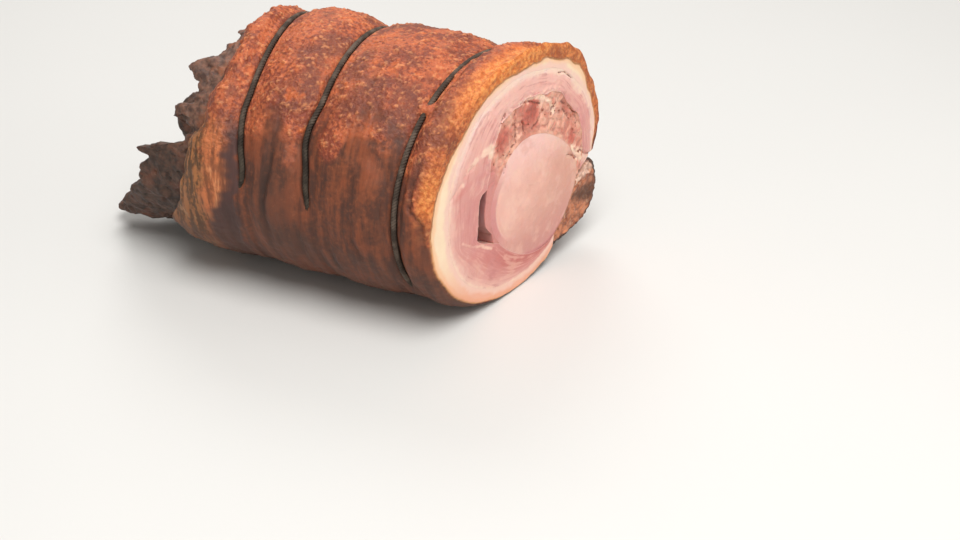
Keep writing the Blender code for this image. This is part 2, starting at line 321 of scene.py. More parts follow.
def from_string(theta, x, yz):
    """Distance along the roll to the nearest string that can be seen."""
    away = [np.abs(x - edge_x(k, theta, yz)) + BURIED_AWAY * buried(k, theta) for k in STRINGS]
    return np.min(away, axis=0)


def ends_rounded(theta, amount, reach):
    to_edge = np.minimum(theta - theta.min(), theta.max() - theta)
    return -amount * (1 - np.clip(to_edge / reach, 0, 1)) ** 2


def rim_drop(to_rim):
    """How far the rim of the cut is rounded back."""
    return RIM_DROP * (1 - np.clip(to_rim / RIM_REACH, 0, 1)) ** 2


def columns(*spans):
    """Angles in a column: each span is its first and last angle and its number of steps."""
    runs = [np.linspace(start, end, steps, endpoint=False) for start, end, steps in spans]
    return np.append(np.concatenate(runs), spans[-1][1])[:, None]


# ---- marks on the cut face
# Lines across the cut, in millimetres: a width, then y and z of each point.
FAT_STREAKS = (
    (2.7, -42.5, 93.4, -35.9, 96.2, -29.3, 97.9, -22.6, 99.5), (2.0, -20.9, 98, -22.5, 94),
    (2.3, 2.8, 113, 9.7, 113.6, 16.8, 111.9, 24, 108.3), (2.4, 51.7, 103.5, 59.6, 96.6, 61.9, 90.8),
    (1.5, -46.1, 53, -39.4, 47.8, -30.9, 44.1, -22.3, 38.1), (4.6, 51, 64, 58, 60, 66, 52),
    (1.4, 24, 109, 30, 103, 33, 96),
)
FISSURES = (
    (0.72, -55.5, 83.2, -52.3, 85.2, -47.4, 88.7), (0.78, -44.6, 91.6, -40, 93.4, -36.7, 94.2),
    (1.69, -12.6, 108.4, -9.6, 112.6), (1.04, -24.6, 117.9, -23.8, 118.7),
    (1.04, 0.2, 110.6, -0.2, 105, 0.5, 98.8, -0.3, 92), (0.91, -1.2, 91.8, -3.7, 91),
    (1.04, -6.3, 88.8, -8.5, 86.2), (0.91, -10.2, 82.8, -11.4, 79.1),
    (0.65, 4.5, 112.3, 11.5, 111.1, 21.4, 105.8), (0.91, 22.5, 101.2, 19.9, 97, 14.7, 93.9),
    (0.91, 8.5, 93, 6.5, 100.9), (0.78, 35.2, 100.7, 31.6, 99.2, 30.8, 95.3),
    (0.85, 40.8, 99, 48.5, 92.7, 53.5, 87, 55.7, 81.1, 53.9, 78.8), (1.04, 42.9, 93.3, 47.2, 87.8),
    (0.78, 45.7, 64.6, 51, 61.7, 55, 58.6), (0.72, 58.7, 61.7, 63.8, 57.2, 69.4, 55),
    (0.45, 36, 118.2, 41.8, 116.4, 48.6, 110.1),
)
MAUVE_BANDS = ((3.0, -52.3, 80.5, -44.2, 84.8, -34.3, 86.1, -27.6, 85.4),)

# Spots are (y, z, size, level), in millimetres but for the swells of the whole face.
RED_SPOTS = (
    (13.5, 104.4, 7.5, 1.5), (-10.8, 100.2, 5.5, 0.95), (-15, 96, 5, 0.8), (50.3, 74.7, 5.5, 0.95),
    (-36, 40, 8, 0.5), (-25.7, 33, 6, 0.5), (-20, 86, 7, 0.35), (46, 98, 7, 0.45), (-47, 83, 6, 0.25),
)
CREAM_SPOTS = (
    (-21.5, 96, 3, 1), (-45.5, 87.5, 2.2, 0.8), (-27, 98.2, 2.5, 0.6), (33.5, 98, 2.2, 0.7),
    (38, 95, 2.5, 0.8), (44, 91, 2.5, 0.7), (27, 96, 3, 0.5),
)
FACE_SWELLS = ((0.017, 0.052, 0.027, 0.0024), (0.008, 0.104, 0.016, -0.0012), (0.046, 0.092, 0.014, -0.0008))


def near_lines(yz, lines):
    """1 on any of the lines and 0 beyond their widths."""
    points = yz * 1000
    found = np.zeros(yz.shape[:-1])
    for width, *line in lines:
        line = np.array(line, float).reshape(-1, 2)
        for a, b in zip(line, line[1:]):
            way = b - a
            share = np.clip((points - a) @ way / (way @ way), 0, 1)
            away = np.linalg.norm(points - a - share[..., None] * way, axis=-1)
            found = np.maximum(found, hump(away / width))
    return found


def near_spots(yz, spots):
    across, up = yz[..., 0], yz[..., 1]
    return sum(
        level * np.exp(-((across - y) ** 2 + (up - z) ** 2) / size**2) for y, z, size, level in spots
    )


# ---- solids from grids of points
def placed(name, data):
    """A new object in the scene."""
    made = bpy.data.objects.new(name, data)
    bpy.context.scene.collection.objects.link(made)
    return made


def meshed(name, points, edges, faces):
    """A new object with a mesh of its own."""
    mesh = bpy.data.meshes.new(name)
    mesh.from_pydata(points, edges, faces)
    return placed(name, mesh)


def part(x, yz, **masks):
    """Some rows of a solid's rings, with their masks."""
    shape = yz.shape[:2]
    sized = {name: np.broadcast_to(level, shape) for name, level in masks.items()}
    return np.concatenate([np.broadcast_to(x, shape)[..., None], yz], axis=-1), sized


def solid(name, parts, masks, axis=1):
    """A closed mesh of parts joined along an axis: every row is a ring, and both end rings are capped."""
    rings = np.concatenate([points for points, _ in parts], axis=axis)
    count, size = rings.shape[:2]
    index = np.arange(count * size).reshape(count, size)
    near, far = index[:-1], index[1:]
    sides = np.stack([near, np.roll(near, -1, 1), np.roll(far, -1, 1), far], axis=-1).reshape(-1, 4)
    piece = meshed(name, rings.reshape(-1, 3).tolist(), [], sides.tolist() + index[[0, -1]].tolist())
    mesh = piece.data
    for mask in masks:
        levels = [found.get(mask, np.zeros(points.shape[:2])) for points, found in parts]
        level = np.concatenate(levels, axis=axis).ravel().astype(np.float32)
        mesh.attributes.new(mask, "FLOAT", "POINT").data.foreach_set("value", level)
    mesh_data = bmesh.new()
    mesh_data.from_mesh(mesh)
    caps = [face for face in mesh_data.faces if len(face.verts) > 4]
    bmesh.ops.triangulate(mesh_data, faces=caps, ngon_method="EAR_CLIP")
    bmesh.ops.recalc_face_normals(mesh_data, faces=mesh_data.faces)
    mesh_data.to_mesh(mesh)
    mesh_data.free()
    return piece


# ---- node trees written as expressions
def rgb(red, green, blue):
    """A linear colour from screen levels of 0 to 255."""
    levels = np.array((red, green, blue)) / 255
    linear = np.where(levels <= 0.04045, levels / 12.92, ((levels + 0.055) / 1.055) ** 2.4)
    return (*linear.tolist(), 1.0)


def operator(operation, reflected=False):
    """A way for one node output to meet another, or a number, in a Math node."""

    def meet(value, other):
        pair = (other, value) if reflected else (value, other)
        return value.graph.math(operation, *pair)

    return meet


class Value:
    """One output of a node. Arithmetic on it adds Math nodes."""

    def __init__(self, graph, socket):
        self.graph = graph
        self.socket = socket

    def out(self, name):
        """Another output of the same node."""
        return Value(self.graph, self.socket.node.outputs[name])

    def smooth(self, low, high):
        """A smooth step from 0 at low to 1 at high."""
        sockets = {"Value": self, "From Min": low, "From Max": high}
        return self.graph.node("ShaderNodeMapRange", {"interpolation_type": "SMOOTHSTEP"}, sockets)

    def swing(self, amount):
        """A noise made even about 0, by up to half of amount each way."""
        return (self - 0.5) * amount

    __add__ = __radd__ = operator("ADD")
    __mul__ = __rmul__ = operator("MULTIPLY")
    __sub__ = operator("SUBTRACT")
    __rsub__ = operator("SUBTRACT", reflected=True)
    __truediv__ = operator("DIVIDE")
    __rtruediv__ = operator("DIVIDE", reflected=True)


class Graph:
    """A node tree and the ways to add to it."""

    def __init__(self, tree):
        self.tree = tree

    def node(self, kind, settings=None, sockets=None, output=0):
        """Adds a node: its settings first, then the values or links of its sockets."""
        made = self.tree.nodes.new(kind)
        for name, setting in (settings or {}).items():
            setattr(made, name, setting)
        for key, level in (sockets or {}).items():
            if isinstance(level, Value):
                self.tree.links.new(level.socket, made.inputs[key])
            else:
                made.inputs[key].default_value = level
        return Value(self, made.outputs[output]) if made.outputs else None

    def math(self, operation, *values):
        return self.node("ShaderNodeMath", {"operation": operation}, dict(enumerate(values)))

    def vector(self, operation, a, b):
        """Vector maths; Scale takes its number in its own socket."""
        key = 3 if operation == "SCALE" else 1
        return self.node("ShaderNodeVectorMath", {"operation": operation}, {0: a, key: b})

    def total(self, *terms):
        """The sum of some vectors, each times a number."""
        scaled = [self.vector("SCALE", way, size) for way, size in terms]
        found = scaled[0]
        for more in scaled[1:]:
            found = self.vector("ADD", found, more)
        return found

    def axis(self, place, name):
        """X, Y or Z of a place."""
        return self.node("ShaderNodeSeparateXYZ", None, {0: place}).out(name)

    def mix(self, share, a, b):
        """Goes from colour a to colour b; a tuple is screen levels."""
        a, b = (rgb(*colour) if isinstance(colour, tuple) else colour for colour in (a, b))
        settings = {"data_type": "RGBA", "blend_type": "MIX", "clamp_factor": True}
        return self.node("ShaderNodeMix", settings, {0: share, 6: a, 7: b}, output=2)

    def painted(self, colour, *coats):
        """Lays coats over a colour: (share, colour) each."""
        for share, coat in coats:
            colour = self.mix(share, colour, coat)
        return colour

    def noise(self, where, scale, detail=2, roughness=0.5, distortion=0):
        sockets = {"Vector": where, "Scale": scale, "Detail": detail, "Roughness": roughness}
        return self.node("ShaderNodeTexNoise", None, {**sockets, "Distortion": distortion})

    def cells(self, where, scale, feature="F1"):
        return self.node("ShaderNodeTexVoronoi", {"feature": feature}, {"Vector": where, "Scale": scale})

    def warped(self, where, scale, amount):
        """A place pushed about by noise, by up to half of amount each way."""
        push = self.vector("SUBTRACT", self.noise(where, scale).out("Color"), (0.5, 0.5, 0.5))
        return self.vector("ADD", where, self.vector("SCALE", push, amount))

    def mask(self, name):
        """A mask as a material reads it."""
        return self.node("ShaderNodeAttribute", {"attribute_name": name}).out("Fac")

    def named(self, name, kind="FLOAT"):
        """A mask as a geometry tree reads it."""
        return self.node("GeometryNodeInputNamedAttribute", {"data_type": kind}, {"Name": name})


# ---- geometry trees
SHARP_FROM = np.radians(60)
STRANDS = 3
FLECK_TURNS = {"Min": (0, 0, 0), "Max": (6.28, 6.28, 6.28)}
FLECK_SCALES = {"Min": (0.5, 0.5, 0.5), "Max": (1.9, 1.3, 1.1)}


def geometry_tree(name, numbers):
    """A geometry tree with named inputs: its graph, and the values of the inputs by name."""
    tree = bpy.data.node_groups.new(name, "GeometryNodeTree")
    kinds = {"Geometry": "Geometry", **dict.fromkeys(numbers, "Float"), "Material": "Material"}
    for label, kind in kinds.items():
        tree.interface.new_socket(label, in_out="INPUT", socket_type=f"NodeSocket{kind}")
    tree.interface.new_socket("Geometry", in_out="OUTPUT", socket_type="NodeSocketGeometry")
    graph = Graph(tree)
    entry = graph.node("NodeGroupInput")
    return graph, {label: entry.out(label) for label in kinds}


def close_tree(graph, geometry, asked):
    """Ends a geometry tree, and returns it."""
    real = graph.node("GeometryNodeRealizeInstances", None, {"Geometry": geometry})
    dressed = graph.node("GeometryNodeSetMaterial", None, {"Geometry": real, "Material": asked["Material"]})
    graph.node("NodeGroupOutput", None, {"Geometry": dressed})
    return graph.tree


def stored(graph, geometry, mask, level):
    sockets = {"Geometry": geometry, "Name": mask, "Value": level}
    return graph.node("GeometryNodeStoreNamedAttribute", {"data_type": "FLOAT", "domain": "POINT"}, sockets)


def pushed(graph, geometry, push):
    """Moves every point by a vector, and keeps it above the floor."""
    place = graph.vector("ADD", graph.node("GeometryNodeInputPosition"), push)
    x, y, z = (graph.axis(place, name) for name in "XYZ")
    lifted = graph.node("ShaderNodeCombineXYZ", None, {"X": x, "Y": y, "Z": graph.math("MAXIMUM", z, 0)})
    return graph.node("GeometryNodeSetPosition", None, {"Geometry": geometry, "Position": lifted})


def shaped(piece, tree, sizes):
    """Runs a geometry tree on a piece and leaves a plain mesh."""
    modifier = piece.modifiers.new(tree.name, "NODES")
    modifier.node_group = tree
    for item in tree.interface.items_tree:
        if item.in_out == "INPUT" and item.name in sizes:
            modifier[item.identifier] = sizes[item.name]
    depsgraph = bpy.context.evaluated_depsgraph_get()
    made = piece.evaluated_get(depsgraph)
    mesh = bpy.data.meshes.new_from_object(made, preserve_all_data_layers=True, depsgraph=depsgraph)
    piece.modifiers.clear()
    piece.data = mesh
    mesh.name = piece.name
    mesh.shade_smooth()
    mesh.set_sharp_from_angle(angle=SHARP_FROM)
    return piece


def bubbly_area(graph, place, level):
    """Where the skin is blistered, with an uneven limit."""
    uneven = graph.noise(place, 35, 3).swing(1.3) + graph.noise(place, 90).swing(0.7)
    return (level + uneven).smooth(0.3, 0.72)


def skin_tree():
    """Lumps, blisters, wrinkles and fibres of the roasted skin."""
    sizes = ("Lump Height", "Blister Size", "Blister Height", "Wrinkle Height", "Fibre Height")
    graph, asked = geometry_tree("roasted_skin", sizes)
    place = graph.node("GeometryNodeInputPosition")
    bubbly = bubbly_area(graph, place, graph.named("bubbly"))
    lumps = graph.noise(place, 26).swing(asked["Lump Height"]) * 4
    lumps = lumps + graph.noise(place, 75).swing(asked["Lump Height"]) * 1.6
    warped = graph.warped(place, 260, 0.002)
    big = graph.cells(warped, 1 / asked["Blister Size"])
    small = graph.cells(warped, 1.9 / asked["Blister Size"])
    dome = (1 - big.smooth(0.05, 0.62)) * graph.noise(place, 180).smooth(0.4, 0.62)
    blister = (dome + (1 - small.smooth(0.05, 0.6)) * 0.35) * bubbly
    streaky = graph.vector("MULTIPLY", place, (1, 0.16, 0.16))
    wrinkle = graph.noise(streaky, 260, 3, 0.55).swing(1 - bubbly * 0.75) * asked["Wrinkle Height"] * 3
    fibres = graph.noise(streaky, 420, 3, 0.6).swing(graph.named("fibre")) * asked["Fibre Height"] * 3
    height = lumps + (blister - 0.3 * bubbly) * asked["Blister Height"] + wrinkle + fibres
    crumbly = graph.noise(place, 210, 4, 0.65).swing(graph.named("cut")) * graph.named("rind") * 0.0026
    outwards = (graph.node("GeometryNodeInputNormal"), height * graph.named("loose"))
    geometry = stored(graph, asked["Geometry"], "blister", blister)
    return close_tree(graph, pushed(graph, geometry, graph.total(outwards, (FACE_NORMAL, crumbly))), asked)


def meat_tree():
    """The cut surface's grain and chunks, and the torn, shrunken relief of roasted ends."""
    graph, asked = geometry_tree("cut_meat", ("Cut Relief", "Chunk Size", "Chunk Height", "Torn Height"))
    place = graph.node("GeometryNodeInputPosition")
    flat = graph.vector("MULTIPLY", place, (0, 1, 1))
    warped = graph.warped(graph.warped(flat, 90, 0.007), 300, 0.003)
    tone = graph.noise(warped, 0.85 / asked["Chunk Size"], 3).smooth(0.32, 0.68)
    border = graph.cells(warped, 1 / asked["Chunk Size"], "DISTANCE_TO_EDGE")
    chunky = graph.named("chunky")
    seam = (1 - border.smooth(0.02, 0.14)) * chunky * graph.noise(place, 95).smooth(0.46, 0.58)
    grain = graph.noise(flat, 150, 4, 0.6).swing(asked["Cut Relief"]) * 2
    dome = (border.smooth(0, 0.3) - 0.7) * chunky * asked["Chunk Height"]
    inwards = graph.named("cut") * (grain + dome - graph.named("sunken") * 0.001)
    torn = graph.warped(place, 60, 0.008)
    chunks = graph.noise(torn, 45).swing(3.4) + graph.noise(torn, 115, 3, 0.6).swing(2.2)
    pits = graph.noise(torn, 170).smooth(0.6, 0.72) * 0.6
    ripped = graph.named("torn") * asked["Torn Height"]
    tumble = graph.vector("SUBTRACT", graph.noise(torn, 80, 3).out("Color"), (0.5, 0.5, 0.5))
    outwards = (graph.node("GeometryNodeInputNormal"), (chunks - pits) * ripped)
    push = graph.total((FACE_NORMAL, inwards), outwards, (tumble, ripped * 3))
    geometry = stored(graph, stored(graph, asked["Geometry"], "seam", seam), "tone", tone)
    return close_tree(graph, pushed(graph, geometry, push), asked)


def twine_tree():
    """Strands twisted round a closed guide."""
    graph, asked = geometry_tree("twisted_twine", ("Twine Radius", "Turns", "Strand Points"))
    curve = graph.node("GeometryNodeMeshToCurve", None, {"Mesh": asked["Geometry"]})
    counted = {"Curve": curve, "Count": asked["Strand Points"]}
    even = graph.node("GeometryNodeResampleCurve", {"mode": "COUNT"}, counted)
    copied = {"Geometry": even, "Amount": STRANDS}
    thrice = graph.node("GeometryNodeDuplicateElements", {"domain": "SPLINE"}, copied)
    reached = graph.node("GeometryNodeSplineParameter")
    turn = (reached * asked["Turns"] + thrice.out("Duplicate Index") / STRANDS) * (2 * np.pi)
    lift = graph.named("lift", "FLOAT_VECTOR")
    side = graph.vector("CROSS_PRODUCT", graph.node("GeometryNodeInputTangent"), lift)
    wander = graph.total((lift, graph.math("COSINE", turn)), (side, graph.math("SINE", turn)))
    moved = graph.vector("SCALE", wander, asked["Twine Radius"] * 0.5)
    strands = graph.node("GeometryNodeSetPosition", None, {"Geometry": thrice, "Offset": moved})
    circle = {"Resolution": 8, "Radius": asked["Twine Radius"] * 0.54}
    profile = graph.node("GeometryNodeCurvePrimitiveCircle", None, circle)
    tubes = {"Curve": strands, "Profile Curve": profile, "Fill Caps": True}
    return close_tree(graph, graph.node("GeometryNodeCurveToMesh", None, tubes), asked)


def fleck_tree():
    """A small uneven lump on every point."""
    graph, asked = geometry_tree("herb_flecks", ("Fleck Size", "Seed"))
    lump = graph.node("GeometryNodeMeshIcoSphere", None, {"Radius": asked["Fleck Size"], "Subdivisions": 1})
    kind, seed = {"data_type": "FLOAT_VECTOR"}, {"Seed": asked["Seed"]}
    turn = graph.node("FunctionNodeRandomValue", kind, {**FLECK_TURNS, **seed})
    size = graph.node("FunctionNodeRandomValue", kind, {**FLECK_SCALES, **seed})
    lumps = {"Points": asked["Geometry"], "Instance": lump, "Rotation": turn, "Scale": size}
    return close_tree(graph, graph.node("GeometryNodeInstanceOnPoints", None, lumps), asked)


# ---- finishes
SUBSURFACE_SCALE = 0.003


def finish(name):
    """A new material's graph, with the place on the object."""
    material = bpy.data.materials.new(name)
    material.use_nodes = True
    material.node_tree.nodes.clear()
    graph = Graph(material.node_tree)
    return material, graph, graph.node("ShaderNodeTexCoord").out("Object")


def surface(graph, colour, roughness, height, specular=0.5, subsurface=0):
    """The closing nodes: a height in metres becomes bump."""
    bump = graph.node("ShaderNodeBump", None, {"Strength": 1, "Distance": 1, "Height": height})
    sockets = {
        "Base Color": colour, "Roughness": roughness, "Normal": bump, "Specular IOR Level": specular,
        "Subsurface Weight": subsurface, "Subsurface Scale": SUBSURFACE_SCALE,
    }
    shader = graph.node("ShaderNodeBsdfPrincipled", {"subsurface_method": "RANDOM_WALK"}, sockets)
    graph.node("ShaderNodeOutputMaterial", None, {"Surface": shader})


def painted_top_light_and_paler_cut(graph, place):
    """Where the strings and their grooves are paler: painted light on top of the roll, and paler near the
    cut.
    """
    high = graph.axis(place, "Z").smooth(0.092, 0.124)
    return graph.math("MAXIMUM", high, graph.axis(place, "X").smooth(0.035, 0.065) * 0.9)


def roasted_skin(graph, place):
    """Blistered orange-brown crackling above and smooth mahogany below, by the skin's masks."""
    streaky = graph.vector("MULTIPLY", place, (1, 0.14, 0.14))
    soft = graph.noise(place, 42, 3, 0.55)
    bruises = graph.noise(graph.vector("ADD", place, (0.3, 0.1, 0.2)), 72, 3, 0.6)
    grains = graph.noise(place, 400, 3, 0.6)
    flecks = graph.noise(place, 640)
    wisps = graph.noise(streaky, 210, 4, 0.6)
    threads = graph.noise(streaky, 420, 3, 0.6)
    bubbly = bubbly_area(graph, place, graph.mask("bubbly"))

    dark = bruises + grains.swing(0.3) + (graph.mask("bruised") - 0.3) * 0.26
    pale = graph.mask("blister") * 0.7 + flecks + grains.swing(0.5)
    crackle = graph.painted(
        graph.mix((grains + soft.swing(0.8)).smooth(0.36, 0.62), (134, 64, 43), (190, 99, 60)),
        (dark.smooth(0.44, 0.66) * 0.78, (112, 60, 46)),
        (bruises.smooth(0.42, 0.3) * 0.6, (208, 104, 50)),
        (pale.smooth(0.58, 1.1) * 0.46, (236, 158, 104)),
    )
    mahogany = graph.painted(
        graph.mix((wisps + grains.swing(0.4)).smooth(0.3, 0.7), (78, 46, 34), (132, 72, 45)),
        ((soft + wisps.swing(0.4)).smooth(0.5, 0.66) * 0.55, (148, 76, 44)),
        ((soft + grains.swing(0.4)).smooth(0.46, 0.3) * 0.6, (74, 47, 38)),
        (graph.mask("bruised") * 0.6, (78, 54, 44)),
        (grains.smooth(0.56, 0.74) * 0.15, (176, 104, 72)),
    )
    gold = graph.painted(
        graph.mix(grains.smooth(0.4, 0.62), (214, 118, 52), (246, 162, 86)),
        (bruises.smooth(0.5, 0.66) * 0.65, (178, 90, 48)),
    )
    mottled = wisps + threads.swing(0.4) + grains.swing(0.5)
    fibre = graph.painted(
        graph.mix(mottled.smooth(0.34, 0.62), (136, 78, 48), (196, 114, 70)),
        ((bruises + grains.swing(0.4)).smooth(0.54, 0.68) * 0.6, (112, 66, 46)),
        ((threads + soft.swing(0.8)).smooth(0.58, 0.72) * 0.55, (224, 158, 108)),
    )
    strands = threads + grains.swing(0.7) + wisps.swing(0.7)
    ochre = graph.painted(
        graph.mix(strands.smooth(0.36, 0.66), (96, 66, 42), (170, 110, 66)),
        ((bruises + wisps.swing(0.4)).smooth(0.58, 0.68) * 0.6, (198, 148, 102)),
    )
    colour = graph.painted(
        graph.mix(bubbly, mahogany, crackle),
        (graph.mask("gold") * 0.85, gold),
        (graph.mask("fibre"), fibre),
        (graph.mask("ochre"), ochre),
        (graph.mask("plum"), graph.mix(wisps, (56, 40, 37), (98, 66, 60))),
        # Darker low down: seared skin and painted shade.
        (graph.mask("sear_and_low_shade") * 0.72, graph.mix(wisps, (62, 42, 34), (104, 66, 50))),
        # Charred skin with painted shade in the grooves and folds; paler on top of the roll as painted light,
        # and near the cut.
        (graph.mask("char_and_groove_shade"), graph.mix(painted_top_light_and_paler_cut(graph, place), (50, 37, 32), (84, 56, 46))),
    )
    pits = graph.cells(graph.warped(place, 300, 0.0015), 520)
    height = (grains * 0.0008 + flecks * 0.00025 + (1 - pits) * 0.0005) * bubbly + wisps * 0.0006
    return colour, height, grains


def skin_finish():
    """The roasted skin on cream fat."""
    material, graph, place = finish("crisp_skin_over_fat")
    skin, height, grains = roasted_skin(graph, place)
    pearly = graph.noise(place, 160, 3)
    # Lower down the fat is darker and more orange-pink: partly its own tone, partly painted shade.
    low = graph.axis(place, "Z").smooth(0.056, 0.014)
    warm = graph.mask("warm") + graph.noise(place, 240, 3).swing(0.4)
    blush = graph.mask("blush") + pearly.swing(1.1)
    rind = graph.mask("rind") + graph.noise(place, 300, 3).swing(0.4)
    crisp = rind.smooth(0.3, 0.8)
    colour = graph.painted(
        graph.mix(pearly, (253, 230, 198), (248, 214, 180)),
        (low * 0.95, (242, 176, 148)),
        (warm.smooth(0.15, 1) * 0.85, graph.mix(low, (248, 198, 152), (240, 170, 134))),
        (blush.smooth(0.25, 1), (246, 202, 184)),
        (rind.smooth(0.15, 0.6), (222, 154, 100)),
        (rind.smooth(0.45, 0.9), skin),
    )
    surface(graph, colour, crisp * 0.14 + 0.4 + grains * 0.1, height * crisp + pearly * 0.0002, 0.36, 0.1)
    return material


def belly_base(graph, place, cloud):
    """Pale by the fat and deeper pink inside, with streaks that follow the rim."""
    across = graph.mask("across")
    level = graph.axis(place, "Z")
    high = level.smooth(0.07, 0.125)
    inside = graph.mix(high, (214, 142, 135), (244, 186, 172))
    follow = {"X": across * 11, "Y": graph.mask("round") * 52}
    bands = graph.noise(graph.node("ShaderNodeCombineXYZ", None, follow), 1, 2, 0.5, 0.6)
    return graph.painted(
        graph.mix(high, (240, 190, 174), (254, 222, 210)),
        (across.smooth(0, 0.32), graph.mix(high, (222, 156, 146), (242, 186, 172))),
        (
            (across + cloud.swing(0.6)).smooth(0.22, 0.85),
            graph.mix(level.smooth(0.046, 0.022), inside, (204, 116, 108)),
        ),
        ((bands + cloud.swing(0.9)).smooth(0.5, 0.78) * 0.45, (246, 198, 178)),
        ((bands + cloud.swing(0.8)).smooth(0.48, 0.22) * 0.55, (198, 118, 114)),
    )


def filling_base(graph, place, cloud):
    """Red-brown, and pinker in the strip down the loin's left side."""
    strip = graph.axis(place, "Y").smooth(-0.012, -0.021) * graph.axis(place, "Z").smooth(0.094, 0.082)
    return graph.painted(
        graph.mix(cloud.smooth(0.38, 0.62), (204, 132, 112), (232, 172, 148)),
        (graph.mask("tone").smooth(0.6, 0.9) * 0.5, (206, 132, 116)),
        (strip * 0.9, graph.mix(cloud, (190, 112, 108), (222, 150, 142))),
    )


def loin_base(graph, place, cloud):
    """Palest at the upper left, and deeper towards the floor."""
    level = graph.axis(place, "Z")
    return graph.painted(
        graph.mix(graph.axis(place, "Y").smooth(-0.02, 0.05), (236, 182, 166), (220, 160, 140)),
        (level.smooth(0.062, 0.09) * 0.85, (246, 200, 191)),
        (level.smooth(0.052, 0.018), (212, 147, 136)),
        (cloud.smooth(0.46, 0.72) * 0.45, (246, 200, 180)),
        (cloud.smooth(0.44, 0.26) * 0.4, (214, 150, 134)),
    )


def flap_base(graph, place, cloud):
    crumbs = graph.cells(graph.warped(place, 300, 0.003), 260) + cloud.swing(0.6)
    return graph.mix(crumbs.smooth(0.7, 0.25), (128, 68, 48), (216, 150, 114))


def roasted_meat(graph, place, flecked, cloudy, fine):
    """Dark brown near the floor, lighter and plum-coloured on top: partly the knobs' own colour, partly
    painted light on top.
    """
    light = flecked.smooth(0.3, 0.7)
    knobs = graph.painted(
        graph.mix(light, (78, 55, 46), (134, 96, 78)),
        (cloudy.smooth(0.52, 0.66) * 0.7, (156, 94, 62)),
        (cloudy.smooth(0.46, 0.34) * 0.6, (62, 52, 50)),
    )
    return graph.painted(
        graph.mix(light, (52, 37, 30), (92, 66, 53)),
        (cloudy.smooth(0.5, 0.7) * 0.6, (112, 66, 46)),
        # Painted light and own colour: the knobs on top are lighter, grey and plum.
        (graph.axis(place, "Z").smooth(0.07, 0.11), knobs),
        ((fine + cloudy.swing(0.8)).smooth(0.66, 0.8) * 0.2, (150, 112, 92)),
    )


def meat_finish(name, base, red, subsurface=0.2):
    """Cut meat over its plain colour: fat, red spots, seams and roasting come where the masks say so."""
    material, graph, place = finish(name)
    flecked = graph.noise(place, 260, 4, 0.6)
    cloudy = graph.noise(place, 75, 3)
    fine = graph.noise(place, 800)
    tone = graph.mask("tone")
    chunky = graph.mask("chunky")
    redness = graph.mask("red") + tone.smooth(0.6, 0.85) * chunky * 0.3 + flecked.swing(0.35)
    creamy = graph.mask("cream") + flecked.swing(0.8) + cloudy.swing(0.9)
    creamy = creamy + tone.smooth(0.34, 0.16) * chunky * 0.4
    lumps = graph.cells(graph.warped(place, 300, 0.003), 280)
    crumbly = lumps * 0.5 + flecked.swing(1.2) + cloudy.swing(1.2)
    crumbs = graph.painted(
        graph.mix(crumbly.smooth(0.56, 0.02), (130, 68, 44), (206, 132, 94)),
        ((flecked + cloudy * 0.5).smooth(0.8, 0.98) * 0.6, (230, 174, 138)),
    )
    roasted = (graph.mask("roast") + cloudy.swing(0.3)).smooth(0.3, 0.7)
    seams = graph.mask("seam") * cloudy.smooth(0.44, 0.62) * 0.75
    marks = graph.mask("dark") * (flecked + fine.swing(0.4)).smooth(0.36, 0.56)
    deep = graph.axis(place, "Z").smooth(0.066, 0.048)
    colour = graph.painted(
        base(graph, place, cloudy + flecked.swing(0.4)),
        (redness.smooth(0.15, 1) * 0.85, red),
        (redness.smooth(0.9, 1.5) * 0.7, (166, 82, 66)),
        (creamy.smooth(0.25, 0.85) * 0.85, (252, 214, 190)),
        ((graph.mask("crust") + flecked.swing(0.5)).smooth(0.3, 0.7), crumbs),
        (roasted, roasted_meat(graph, place, flecked, cloudy, fine)),
        # Darker in the fissures, the loin's groove and the seams between chunks: partly the meat's own dark
        # lines, partly painted shade in these hollows, and painted shadow along the loin's lower rim.
        ((marks + seams + fine.swing(0.3)).smooth(0.25, 0.95) * 0.8, (140, 78, 64)),
        # Painted shade in the pocket beside the strip of filling, lighter towards its floor.
        (graph.mask("gloom") * 0.9, graph.mix(deep, (150, 98, 96), (186, 136, 128))),
    )
    height = flecked * 0.0004 + fine * 0.00012
    surface(graph, colour, 0.42 + roasted * 0.14 + flecked * 0.1, height, 0.42, subsurface)
    return material


def twine_finish():
    """Charred, greasy twine."""
    material, graph, place = finish("charred_twine")
    scorched = graph.noise(place, 140, 3).smooth(0.4, 0.65)
    fuzz = graph.noise(place, 1500, 3)
    colour = graph.painted(
        graph.mix(scorched, (36, 31, 27), (68, 60, 51)),
        # Painted light: the twine is paler on top of the roll, and also near the cut.
        (painted_top_light_and_paler_cut(graph, place), graph.mix(scorched, (64, 54, 47), (102, 88, 77))),
        (fuzz * 0.15, (120, 104, 88)),
    )
    surface(graph, colour, 0.65 + fuzz * 0.2, fuzz * 0.00003, 0.2)
    return material


def fleck_finish():
    """Browned herbs and cracked pepper."""
    material, graph, place = finish("browned_herbs")
    grain = graph.noise(place, 1200)
    kind = graph.noise(place, 90, 1).smooth(0.45, 0.55)
    colour = graph.mix(grain * 0.4, graph.mix(kind, (158, 92, 72), (190, 122, 98)), (134, 84, 62))
    surface(graph, colour, 0.5 + grain * 0.2, grain * 0.0001)
    return material


